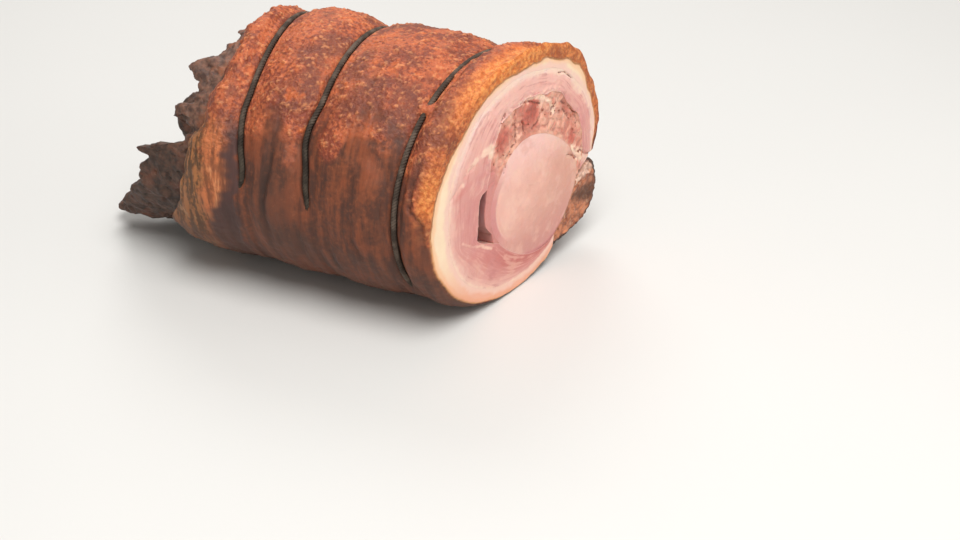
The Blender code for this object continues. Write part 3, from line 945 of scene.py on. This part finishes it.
# ---- the skin with its fat
# Folds in the skin: (theta, x) along each, then its width and depth.
FOLDS = (
    (((153, 0.0648), (194, 0.0662)), 0.0021, 0.0017),
    (
        (
            (145, 0.0836), (151, 0.0834), (156, 0.0819), (161, 0.0816), (166, 0.0826), (169, 0.0828),
            (172, 0.0877), (174.5, 0.09), (178, 0.0891), (196, 0.0893),
        ),
        0.0019, 0.0018,
    ),
    (((150, 0.001), (206, -0.002)), 0.0024, 0.0019),
    (((176, 0.047), (200, 0.052)), 0.0016, 0.0012),
    (((98, 0.048), (128, 0.043)), 0.002, 0.001),
    (((172, 0.033), (216, 0.035)), 0.0018, 0.001),
    (((20, 0.056), (64, 0.05)), 0.002, 0.0013),
    (((0, 0.002), (40, 0.006)), 0.0022, 0.0015),
    (((176, 0.0745), (212, 0.076)), 0.0016, 0.001),
)
FOLD_WANDER = 0.0012
FOLD_FULL_DEPTH = 0.0018
GOLD_LEVELS = (
    (-5, 0), (15, 0.4), (50, 0.5), (75, 0.8), (92, 1), (112, 0.9), (128, 0.4), (138, 0.1), (150, 0.3),
    (158, 0.75), (167, 0.75), (174, 0.35), (184, 0),
)

# Spots on the skin: (theta, x, spread, length, level).
BRUISES = (
    (112, 0.031, 8, 0.01, 1), (125, 0.031, 7, 0.007, 0.8), (127, 0.05, 7, 0.01, 0.8),
    (134, 0.045, 6, 0.012, 0.8), (115, 0, 7, 0.008, 0.7), (135, 0.002, 6, 0.007, 1),
    (106, 0.053, 8, 0.008, 0.25), (122, 0.092, 6, 0.006, 0.5), (124, 0.012, 7, 0.009, 0.9),
    (99, 0.011, 6, 0.01, 0.7), (138, -0.03, 8, 0.004, 0.7), (139, 0.09, 6, 0.006, 1),
    (132, 0.013, 6, 0.005, 1), (96, 0.018, 6, 0.005, 0.9), (153, 0.0845, 7, 0.005, 1),
    (187, 0.096, 14, 0.006, 1), (200, 0.017, 9, 0.01, 1), (122, -0.025, 5, 0.004, 0.5),
    (145, 0.001, 5, 0.006, 0.5), (140, 0.059, 5, 0.007, 0.7), (106, 0.012, 8, 0.006, 0.6),
    (123, 0.067, 9, 0.008, 0.7), (136, 0.07, 6, 0.008, 0.8), (182, 0.004, 26, 0.014, 1),
    (128, 0.088, 6, 0.005, 0.8), (60, 0.04, 20, 0.02, 0.6), (30, -0.01, 18, 0.015, 0.6),
    (50, 0.075, 12, 0.008, 0.6),
)
BUBBLY_PATCHES = ((149, 0.033, 10, 0.009, 1), (140, 0.059, 6, 0.006, 1), (164, 0.094, 20, 0.008, 1))
BUBBLY_LIMITS = (
    (-0.06, 176), (-0.026, 172), (-0.014, 156), (-0.002, 150), (0.003, 152), (0.007, 163), (0.014, 163),
    (0.024, 152), (0.04, 152), (0.046, 146), (0.054, 146), (0.07, 150), (0.077, 168), (0.084, 176),
    (0.096, 190),
)
SKIN_MASKS = ("bubbly", "fibre", "ochre", "plum", "gold", "bruised", "sear_and_low_shade", "char_and_groove_shade", "loose", "rind", "blush")
SKIN_MASKS += ("cut", "warm")


def skin_spots(theta, x, spots):
    return [
        level * np.exp(-(((theta - at) / spread) ** 2) - ((x - x_at) / length) ** 2)
        for at, x_at, spread, length, level in spots
    ]


def folds(theta, x):
    """How deep the skin is folded in, and the same as a mask."""
    depth = np.zeros(np.broadcast(theta, x).shape)
    for path, width, deep in FOLDS:
        start, end = path[0][0], path[-1][0]
        share = np.clip((theta - start) / (end - start), 0, 1)
        away = x - (along(theta, path) + FOLD_WANDER * np.sin(share * 9))
        depth = np.maximum(depth, deep * np.sin(np.pi * share) ** 0.6 * hump(away / width))
    return depth, np.clip(depth / FOLD_FULL_DEPTH, 0, 1)


def outer_rows(theta, rise=1.0):
    """Heights of the roll's outside from the rim of the cut to the far end, and what gives each row its x."""
    crest_round = 0.7 + 0.3 * np.cos(np.radians(theta - 80))
    lip = 0.0034 + 0.0036 * np.cos(np.radians(theta - 60)) + bells(theta, LIP_SWELLS)
    lip = lip + ripples(theta, LIP_RIPPLES) * eased(theta, 118, 80)
    taper = -SKIN_END_TAPER * (0.5 + 0.5 * np.sin(np.radians(theta)))
    flat = 0 * theta
    heights, near, far, shares = [], [], [], []
    for k, (top, count) in enumerate(zip(CRESTS, CREST_ROWS)):
        last = k == len(CRESTS) - 1
        u = np.linspace(0, 1, count)
        profile = END_CREST_PROFILE if last else CREST_PROFILE
        far_side = 0.25 + 0.75 * eased(theta, 58, 88) if last else 1.0
        levels = [top * crest_round * size * far_side for _, size in profile]
        levels = [lip if k == CUT_FACE else flat, *levels, taper if last else flat]
        heights.append(through(u, [0, *(at for at, _ in profile), 1], levels))
        near += [(k, -RIM_DROP if k == CUT_FACE else -GROOVE_MOUTH)] * count
        far += [(k + 1, 0 if last else GROOVE_MOUTH)] * count
        shares += list(u)
        if not last:
            steps = np.linspace(GROOVE_MOUTH, -GROOVE_MOUTH, GROOVE_ROWS)[1:-1]
            dip = -GROOVE_DEPTH * np.exp(-((np.abs(steps) / GROOVE_HALF_WIDTH) ** GROOVE_FULLNESS))
            heights.append(between(dip, BURIED_RISE, buried(k + 1, theta)))
            near += [(k + 1, step) for step in steps]
            far += [(k + 1, step) for step in steps]
            shares += [0] * len(steps)
    height = np.concatenate(heights, axis=1)
    height = np.where(height > 0, height * rise, height)
    for _ in range(2):
        height[:, 1:-1] = (height[:, :-2] + 2 * height[:, 1:-1] + height[:, 2:]) / 4
    return height, near, far, np.array(shares)


def outer_x(theta, yz, near, far, shares):
    """x of every row, between two edges of the roll."""
    edges = [edge_x(k, theta, yz) for k in range(len(CUTS) + 1)]
    start, end = (
        np.stack([edges[k][:, i] + offset for i, (k, offset) in enumerate(rows)], axis=1)
        for rows in (near, far)
    )
    return between(start, end, shares)


def skin_masks(theta, x, yz):
    """Where the skin is blistered, golden or fibrous, and where it is darker: low down, seared and with
    painted shade, and by the strings and in the folds, charred and with painted shade.
    """
    to_string = from_string(theta, x, yz)
    to_cut = edge_x(CUT_FACE, theta, yz) - x
    bubbly = (1 - eased(theta - along(x, BUBBLY_LIMITS), -34, 20)) * eased(theta, -14, 6)
    bubbly = np.max([bubbly, *skin_spots(theta, x, BUBBLY_PATCHES)], axis=0)
    back = eased(theta, 143, 156) * eased(theta, 270, 250)
    ragged = ripples(theta, ((19, 0, 0.001), (41, 30, 0.0008), (83, 0, 0.0006)))
    past = edge_x(STRINGS[-1], theta, yz) - x + ragged
    plum_reach = 0.005 + 0.011 * eased(theta, 180, 196)
    plum = eased(theta, 139, 156) * eased(theta, 270, 250) * eased(past, plum_reach + 0.0075, plum_reach)
    gold_reach = 0.0135 - 0.005 * eased(theta, 140, 156)
    # The next three make the skin darker towards the floor: partly seared skin, partly painted shade.
    low_right = eased(yz[..., 1], 0.062, 0.01) * eased(theta, 40, -9)
    low_left = eased(yz[..., 1], 0.07, 0.012) * eased(theta, 150, 180)
    below = eased(yz[..., 1], 0.046, 0.022) * eased(past, 0, 0.01) * eased(theta, 250, 215)
    # Darker by the strings and in the folds: charred skin, with painted shade in the grooves and folds.
    char_and_shade_reach = 0.0014 + 0.0005 * eased(theta, 115, 150)
    char_and_shade_reach = char_and_shade_reach - 0.0006 * eased(x, 0.05, 0.07) * eased(theta, 170, 150)
    return dict(
        bubbly=bubbly,
        fibre=back * eased(past, 0.0045, 0.012),
        ochre=back * eased(past, 0.018, 0.025),
        plum=plum * eased(past, 0, 0.003),
        gold=along(theta, GOLD_LEVELS) * eased(to_cut, gold_reach, 0.004),
        bruised=sum(skin_spots(theta, x, BRUISES)),
        sear_and_low_shade=np.clip(low_right + low_left + below, 0, 1),
        char_and_groove_shade=np.maximum(hump(to_string / char_and_shade_reach) * 0.95, folds(theta, x)[1] * 0.6),
        loose=eased(to_string, 0.0018, 0.006) * eased(to_cut, 0.001, 0.006),
    )


def skin_and_fat():
    """The layer of fat whose outside is the crisp skin, from the seam over the top and under the roll."""
    theta = columns((SEAM_START, 60, 72), (60, 255, 284), (255, WRAP_END, 46))
    height, near, far, shares = outer_rows(theta)
    height = height + ends_rounded(theta, *SKIN_EDGE_ROUND)
    unfolded_x = outer_x(theta, layer_point(theta, 1, height), near, far, shares)
    yz = layer_point(theta, 1, height - folds(theta, unfolded_x)[0])
    x = outer_x(theta, yz, near, far, shares)
    masks = skin_masks(theta, x, yz)
    parts = [part(x, yz, rind=1, **masks)]

    t = inner_steps(10)
    end_yz = between(yz[:, -1:], layer_point(theta, fat_share(theta), GAP), t[:, None])
    end_masks = {name: level[:, -1:] for name, level in masks.items()}
    bulge = 0.0012 * np.sin(np.pi * t)
    parts.append(part(edge_x(SKIN_END, theta, end_yz) - bulge, end_yz, rind=1, **end_masks))

    s = np.array((0, 0.15, 0.3, 0.5, 0.7, 0.8, 0.86, 0.89, 0.92, 0.95, 0.98, 1))
    inner = layer_point(theta, fat_share(theta, near_cut(1 - s)), GAP)
    x_inner = x_between(SKIN_END, CUT_FACE, theta, inner, s)
    parts.append(part(x_inner, inner, rind=eased(s, 0.5, 0.2), blush=1, cut=s == 1))

    inner = inner[:, -1:]
    t = (1 - (1 - np.linspace(0, 1, 28)) ** 1.15)[1:-1]
    face = between(inner, yz[:, :1], t[:, None])
    thickness = np.linalg.norm(yz[:, :1] - inner, axis=-1)
    to_rim = (1 - t) * thickness
    rind_depth = along(theta, RIND_DEPTH) + ripples(theta, RIND_RIPPLES)
    uneven = ripples(theta, ((13, 20, 0.001), (29, 0, 0.0007)))
    face_masks = dict(
        warm=eased(to_rim, rind_depth + 0.005 + uneven, rind_depth),
        rind=eased(to_rim, rind_depth + 0.0014, rind_depth - 0.003),
        blush=eased(t * thickness, 0.0075 + uneven, 0),
        sear_and_low_shade=masks["sear_and_low_shade"][:, :1] * 0.6,
        cut=1,
        **{name: masks[name][:, :1] for name in ("bubbly", "gold", "bruised")},
    )
    parts.append(part(edge_x(CUT_FACE, theta, face) - rim_drop(to_rim), face, **face_masks))
    return solid("skin_and_fat", parts, SKIN_MASKS)


# ---- meat inside
MEAT_MASKS = ("cut", "cream", "roast", "torn", "crust", "chunky", "red", "dark", "sunken", "gloom")


def pocket(theta, x):
    """The hollow between the strip of filling and the belly, which runs in from the cut."""
    return along(theta, POCKET) * eased(x, POCKET_FLOOR_X, POCKET_FLOOR_X + POCKET_EASED_OVER)


def lobe_shape(theta, u, outer_share, inner_share, tip_depth, flare):
    """Both sides of a layer past the skin's end, thinner and leaning out towards the tips of its lobes."""
    size = through(u, *zip(*LOBE_PROFILE))
    thickness = outer_share - inner_share
    middle = inner_share + thickness * (0.5 * (1 - u) + tip_depth * u)
    half = thickness / 2 * size * (1 - u * (2 * tip_depth - 1))
    lean = bells(theta, flare) * u
    return layer_point(theta, middle + half, lean - GAP), layer_point(theta, middle - half, lean + GAP)


def layer_with_lobes(name, theta, outer_share, inner_share, end, tip_depth, flare, rows, marks_of, pocketed):
    """A layer of meat from the cut face to its lobed, roasted far end."""
    face_rows, lobe_rows = rows
    u = np.linspace(0, 1, lobe_rows)
    lobe_outer, lobe_inner = lobe_shape(theta, u, outer_share(theta, 0), inner_share, tip_depth, flare)
    ragged_end = eased_along(theta, end) + ripples(theta, LOBE_RIPPLES)
    ragged_end = np.minimum(ragged_end, edge_x(SKIN_END, theta, lobe_outer[:, -1:]) - LOBE_BASE)
    # by_pocket and gloom mark where the pocket's painted shade goes.
    by_pocket = np.clip(along(theta, POCKET) / POCKET_SHADED_FROM, 0, 1)

    s = np.array((0, 0.006, 0.02, 0.05, 0.08, 0.11, 0.14, 0.2, 0.3, 0.5, 0.7, 0.85))
    outer = layer_point(theta, outer_share(theta, near_cut(s)), -GAP)
    x_outer = x_between(CUT_FACE, SKIN_END, theta, outer, s)
    gloom = by_pocket * (not pocketed) * (s > 0)
    parts = [part(x_outer, outer, cut=s == 0, cream=0.6 * pocketed, gloom=gloom, roast=eased(s, 0.7, 0.9))]

    x_lobe = between(edge_x(SKIN_END, theta, lobe_outer), ragged_end, u)
    parts.append(part(x_lobe, lobe_outer, roast=1, torn=eased(u, 0, 0.12)))
    t = inner_steps(10)
    tip = between(lobe_outer[:, -1:], lobe_inner[:, -1:], t[:, None])
    parts.append(part(ragged_end - TIP_ROUND * np.sin(np.pi * t) ** 0.6, tip, roast=1, torn=1))
    back = lobe_inner[:, ::-1][:, ::2]
    u = u[::-1][::2]
    x_back = between(edge_x(SKIN_END, theta, back), ragged_end, u)
    parts.append(part(x_back, back, roast=1, torn=eased(u, 0, 0.12)))

    s = np.array((0.08, 0.25, 0.45, 0.6, 0.7, 0.78, 0.85, 0.91, 0.95, 0.98, 0.994, 1))
    inner = np.repeat(layer_point(theta, inner_share, GAP), len(s), axis=1)
    x_inner = x_between(SKIN_END, CUT_FACE, theta, inner, s)
    if pocketed:
        inner = layer_point(theta, inner_share, GAP + pocket(theta, x_inner))
        x_inner = x_between(SKIN_END, CUT_FACE, theta, inner, s)
    parts.append(part(x_inner, inner, cut=s == 1, roast=eased(s, 0.3, 0.1), gloom=by_pocket * (s < 1)))

    t = inner_steps(face_rows + 2)
    face = between(inner[:, -1:], outer[:, :1], t[:, None])
    depth = np.linalg.norm(outer[:, :1] - inner[:, -1:], axis=-1)
    round_roll = np.radians(theta) * ROUND_RADIUS
    marks = marks_of(face, t * depth, (1 - t) * depth, theta)
    parts.append(part(edge_x(CUT_FACE, theta, face), face, cut=1, across=1 - t, round=round_roll, **marks))
    return solid(name, parts, (*MEAT_MASKS, "across", "round"))


def belly_marks(face, from_inside, from_outside, theta):
    fissures = near_lines(face, FISSURES) * (0.45 + 0.55 * eased(face[..., 0], -0.03, 0))
    pale_edge = 0.0042 + 0.004 * eased(theta, 20, 50) * eased(theta, 125, 95)
    cream = np.maximum(near_lines(face, FAT_STREAKS) * 0.62, eased(from_outside, pale_edge, 0) * 0.66)
    cream = cream + near_spots(face * 1000, CREAM_SPOTS)
    over_top = eased(theta, 10, 30) * eased(theta, 160, 140)
    chunky = over_top * eased(from_inside, 0.006, 0.001) * 0.6
    red = near_spots(face * 1000, RED_SPOTS) + near_lines(face, MAUVE_BANDS) * 0.4
    return dict(cream=cream, dark=fissures, sunken=fissures, red=red, chunky=chunky)


def filling_marks(face, from_inside, from_outside, theta):
    fissures = near_lines(face, FISSURES)
    streaks = near_lines(face, FAT_STREAKS) + near_spots(face * 1000, CREAM_SPOTS)
    chunky = eased(from_inside, 0, 0.002) * (0.25 + 0.65 * eased(theta, 165, 120))
    red = near_spots(face * 1000, RED_SPOTS) + 0.05 + near_lines(face, MAUVE_BANDS) * 0.3
    return dict(cream=streaks * 0.8, dark=fissures, sunken=fissures, red=red, chunky=chunky)


def belly():
    """The belly meat inside the fat."""
    theta = columns((SEAM_START, WRAP_END, 540))
    lobes = (BELLY_END, BELLY_TIP_DEPTH, BELLY_FLARE, (36, 44))
    return layer_with_lobes("belly_meat", theta, fat_share, filling_share(theta), *lobes, belly_marks, True)


def filling():
    """The seasoned trimmings between the belly and the loin."""
    theta = columns((SEAM_START, STRIP_END, 390))
    shares = (filling_outside, 0 * theta)
    lobes = (FILLING_END, FILLING_TIP_DEPTH, (), (46, 30))
    return layer_with_lobes("seasoned_filling", theta, *shares, *lobes, filling_marks, False)


def filling_outside(theta, cut):
    """The same all along the roll, in as many columns as cut has."""
    return filling_share(theta) + 0 * cut


def loin():
    """The pale lean core. Its rings go from the middle of the cut outwards, and down to the blunt tip."""
    theta = np.linspace(0, 360, 300, endpoint=False)[None, :]
    outline = layer_point(theta, 0, -GAP)
    middle = LOIN_OFFSET + (0, CENTRE_Z)
    share = np.linspace(0.02, 1, 58)[:, None, None]
    face = middle + (outline - middle) * share
    rim = (1 - share[..., 0]) * LOIN_HALF_WIDTH
    margin = eased(rim, 0.005, 0.003) * bell(theta, 178, 42)
    # The groove and the fissures are sunken and painted darker, partly shade in them; shadowy is painted
    # shadow along the lower right of the rim.
    groove = hump((rim - 0.0046) / 0.0007) * bell(theta, 178, 36)
    fissures = near_lines(face, FISSURES)
    shadowy = eased(rim, 0.0032, 0.0002) * bell(theta, 290, 34)
    marks = dict(
        red=margin * 0.85 + shadowy * 1.3,
        sunken=np.maximum(groove * 0.5, fissures),
        dark=np.maximum(fissures, groove * 0.35) + shadowy * 0.5,
        crust=eased(rim, 0.0022, 0.0004) * bell(theta, 322, 30) * 0.8,
    )
    parts = [part(edge_x(CUT_FACE, theta, face), face, cut=1, **marks)]
    s = np.array((0.02, 0.05, 0.09, 0.15, 0.22, 0.32, 0.5, 0.7, 0.9))[:, None]
    side = np.repeat(outline, len(s), axis=0)
    stations, sizes = np.array(LOIN_PROFILE).T
    x_side = between(edge_x(CUT_FACE, theta, side), stations[0], s)
    parts.append(part(x_side, side, crust=eased(s, 0, 0.1) * 0.4, roast=eased(s, 0.5, 0.8)))
    x_tip = np.linspace(stations[0], stations[-1] - 0.0008, 36)
    size = np.interp(-x_tip, -stations, sizes)
    size[1:-1] = (size[:-2] + size[1:-1] + size[2:]) / 3
    tip = LOIN_TIP + (outline - LOIN_TIP) * size[:, None, None]
    grown = eased(x_tip, stations[0], stations[0] - 0.008)[:, None]
    parts.append(part(x_tip[:, None], tip, roast=1, torn=grown))
    return solid("lean_loin", parts, MEAT_MASKS, axis=0)


def flap():
    """The roasted end of the belly strip, tucked against the loin below the seam."""
    theta = columns((FLAP_START, FLAP_END, 76))
    height, near, far, shares = outer_rows(theta, FLAP_CREST_SHARE)
    height = height + ends_rounded(theta, *FLAP_EDGE_ROUND)
    yz = layer_point(theta, 1, height)
    x = outer_x(theta, yz, near, far, shares)
    x = x - FLAP_OVERHANG * eased(shares, 0.6, 1) * (np.arange(len(shares)) >= len(shares) - CREST_ROWS[-1])
    to_string = from_string(theta, x, yz)
    # Darker by the strings: char, with painted shade in the grooves.
    char_and_groove_shade = hump(to_string / 0.0018) * 0.8
    parts = [part(x, yz, roast=0.55, torn=eased(to_string, 0.002, 0.006) * 0.45, crust=0.9, dark=char_and_groove_shade)]
    inner = layer_point(theta, 0, GAP)
    end = between(yz[:, -1:], inner, inner_steps(14)[:, None])
    parts.append(part(edge_x(SKIN_END, theta, end) - FLAP_OVERHANG, end, roast=1, torn=0.5))
    s = np.linspace(0, 1, 10)
    rows = np.repeat(inner, len(s), axis=1)
    x_inner = between(edge_x(SKIN_END, theta, rows) - FLAP_OVERHANG, edge_x(CUT_FACE, theta, rows), s)
    parts.append(part(x_inner, rows, cut=s == 1, crust=1, roast=eased(s, 0.8, 0.2)))
    t = inner_steps(42)
    face = between(inner, yz[:, :1], t[:, None])
    to_rim = (1 - t) * np.linalg.norm(yz[:, :1] - inner, axis=-1)
    browned = np.maximum(eased(to_rim, 0.005, 0.0015) * 0.9, bell(theta, 332, 8) * 0.58)
    fatty = eased(theta, 337, 343)
    marks = dict(crust=1 - fatty * 0.65, cream=fatty * 0.45, roast=browned, chunky=0.9, torn=0.12)
    parts.append(part(edge_x(CUT_FACE, theta, face) - rim_drop(to_rim), face, cut=1, **marks))
    return solid("roasted_flap", parts, MEAT_MASKS)


# ---- strings and herbs
# Clusters of herbs on the cut face: (y, z, spread, count) in millimetres.
FLECK_CLUSTERS = (
    (-11, 109, 3, 2), (0, 100, 4, 4), (10, 98, 4, 3), (20, 101, 5, 3), (34, 99, 5, 4), (48, 90, 5, 4),
    (54, 80, 3, 2), (-9, 86, 4, 3), (-16, 93, 5, 2), (54, 61, 4, 2), (10, 111, 5, 2),
)
FLECK_SINK = 0.0002


def string_guide(name, k):
    """The middle line of a string, closed, with the direction out of the roll at each point."""
    theta = np.linspace(0, 360, 144, endpoint=False)
    way = valley_point(theta + 0.5) - valley_point(theta - 0.5)
    way = way / np.linalg.norm(way, axis=-1)[:, None]
    lift = np.column_stack([0 * theta, way[:, 1], -way[:, 0]])
    yz = valley_point(theta) - lift[:, 1:] * STRING_RADIUS
    yz[:, 1] = np.maximum(yz[:, 1], STRING_RADIUS * 1.04)
    points = np.column_stack([edge_x(k, theta, yz), yz])
    guide = meshed(name, points.tolist(), [(i, (i + 1) % len(theta)) for i in range(len(theta))], [])
    guide.data.attributes.new("lift", "FLOAT_VECTOR", "POINT").data.foreach_set("vector", lift.ravel())
    return guide


def fleck_places():
    """Points on the cut face that herbs lie on."""
    chance = np.random.default_rng(11)
    spots = [(y, z) + spread * chance.uniform(-1, 1, (count, 2)) for y, z, spread, count in FLECK_CLUSTERS]
    yz = np.concatenate(spots) / 1000
    points = np.column_stack([edge_x(CUT_FACE, 0, yz) - FLECK_SINK, yz])
    return meshed("herb_flecks", points.tolist(), [], [])


# ---- the making
SKIN = skin_finish()
BELLY = meat_finish("marbled_belly", belly_base, (212, 122, 114))
FILLING = meat_finish("seasoned_trimmings", filling_base, (200, 108, 92))
LOIN = meat_finish("pale_loin", loin_base, (208, 126, 126), 0.25)
FLAP = meat_finish("roasted_crust", flap_base, (140, 74, 48), 0.05)
FLECKS = fleck_finish()
TWINE = twine_finish()

SKIN_TREE = skin_tree()
MEAT_TREE = meat_tree()
TWINE_TREE = twine_tree()

skin_sizes = {
    "Lump Height": 0.0012,
    "Blister Size": 0.003,
    "Blister Height": 0.0011,
    "Wrinkle Height": 0.0004,
    "Fibre Height": 0.0009,
    "Material": SKIN,
}
meat_sizes = {"Cut Relief": 0.0004, "Chunk Size": 0.0055, "Chunk Height": 0.0009, "Torn Height": 0.002}
flap_sizes = {**meat_sizes, "Chunk Size": 0.0045, "Material": FLAP}

pieces = (
    (shaped(skin_and_fat(), SKIN_TREE, skin_sizes), "fat_cap", "crisp_skin"),
    (shaped(belly(), MEAT_TREE, {**meat_sizes, "Material": BELLY}), "belly", "belly_meat"),
    (shaped(filling(), MEAT_TREE, {**meat_sizes, "Material": FILLING}), "filling", "filling"),
    (shaped(loin(), MEAT_TREE, {**meat_sizes, "Material": LOIN}), "loin", "lean_meat"),
    (shaped(flap(), MEAT_TREE, flap_sizes), "flap", "roasted_meat"),
)
for piece, node, finish_slot in pieces:
    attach(piece, "root")
    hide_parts(node)

twine_sizes = {"Twine Radius": STRING_RADIUS, "Turns": 88.0, "Strand Points": 700, "Material": TWINE}
for k in STRINGS:
    loop = shaped(string_guide(f"twine_{k}", k), TWINE_TREE, twine_sizes)
    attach(loop, "root")
    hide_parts(f"string_{k}")

flecks = shaped(fleck_places(), fleck_tree(), {"Fleck Size": 0.0006, "Seed": 5.0, "Material": FLECKS})
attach(flecks, "root")

# ---- floor, light and camera
FLOOR_HALF_WIDTH = 6
SKY_COLOUR = (1.0, 0.99, 0.97, 1.0)
SKY_STRENGTH = 0.4

# Round lights: where each stands and what it is aimed at, its size and its power.
LIGHTS = {
    "key": ((0.45, -0.45, 1.30), (0.03, 0.0, 0.06), 0.9, 19.0),
    "fill": ((1.3, 0.1, 0.65), (0.1, 0.0, 0.07), 1.0, 1.6),
    "back": ((-0.5, 0.9, 1.0), (0.0, 0.0, 0.1), 0.8, 6.0),
}
CAMERA_PLACE = (0.4153, -0.7438, 0.5224)
CAMERA_AIM = (0.0883, 0.0014, 0.0066)
FOCAL_LENGTH = 65.0
SENSOR_WIDTH = 36.0


def aimed(name, data, place, aim):
    """A light or camera at a place that looks at another."""
    made = placed(name, data)
    made.location = place
    made.rotation_euler = (Vector(aim) - Vector(place)).to_track_quat("-Z", "Y").to_euler()
    return made


def studio():
    material, graph, place = finish("pale_floor")
    colour = graph.mix(graph.noise(place, 3), (214, 212, 208), (220, 218, 214))
    surface(graph, colour, 0.7 + graph.noise(place, 40) * 0.05, graph.noise(place, 400) * 0.00005)
    far = FLOOR_HALF_WIDTH
    corners = [(-far, -far, 0), (far, -far, 0), (far, far, 0), (-far, far, 0)]
    floor = meshed("floor", corners, [], [(0, 1, 2, 3)])
    floor.data.materials.append(material)

    world = bpy.data.worlds.new("soft_room")
    bpy.context.scene.world = world
    world.use_nodes = True
    sky = world.node_tree.nodes["Background"]
    sky.inputs["Color"].default_value = SKY_COLOUR
    sky.inputs["Strength"].default_value = SKY_STRENGTH

    for name, (place, aim, size, power) in LIGHTS.items():
        light = bpy.data.lights.new(name, "AREA")
        light.shape = "DISK"
        light.size = size
        light.energy = power
        aimed(name, light, place, aim)

    lens = bpy.data.cameras.new("camera")
    lens.lens = FOCAL_LENGTH
    lens.sensor_width = SENSOR_WIDTH
    bpy.context.scene.camera = aimed("camera", lens, CAMERA_PLACE, CAMERA_AIM)
    bpy.context.scene.view_settings.view_transform = "Standard"


studio()
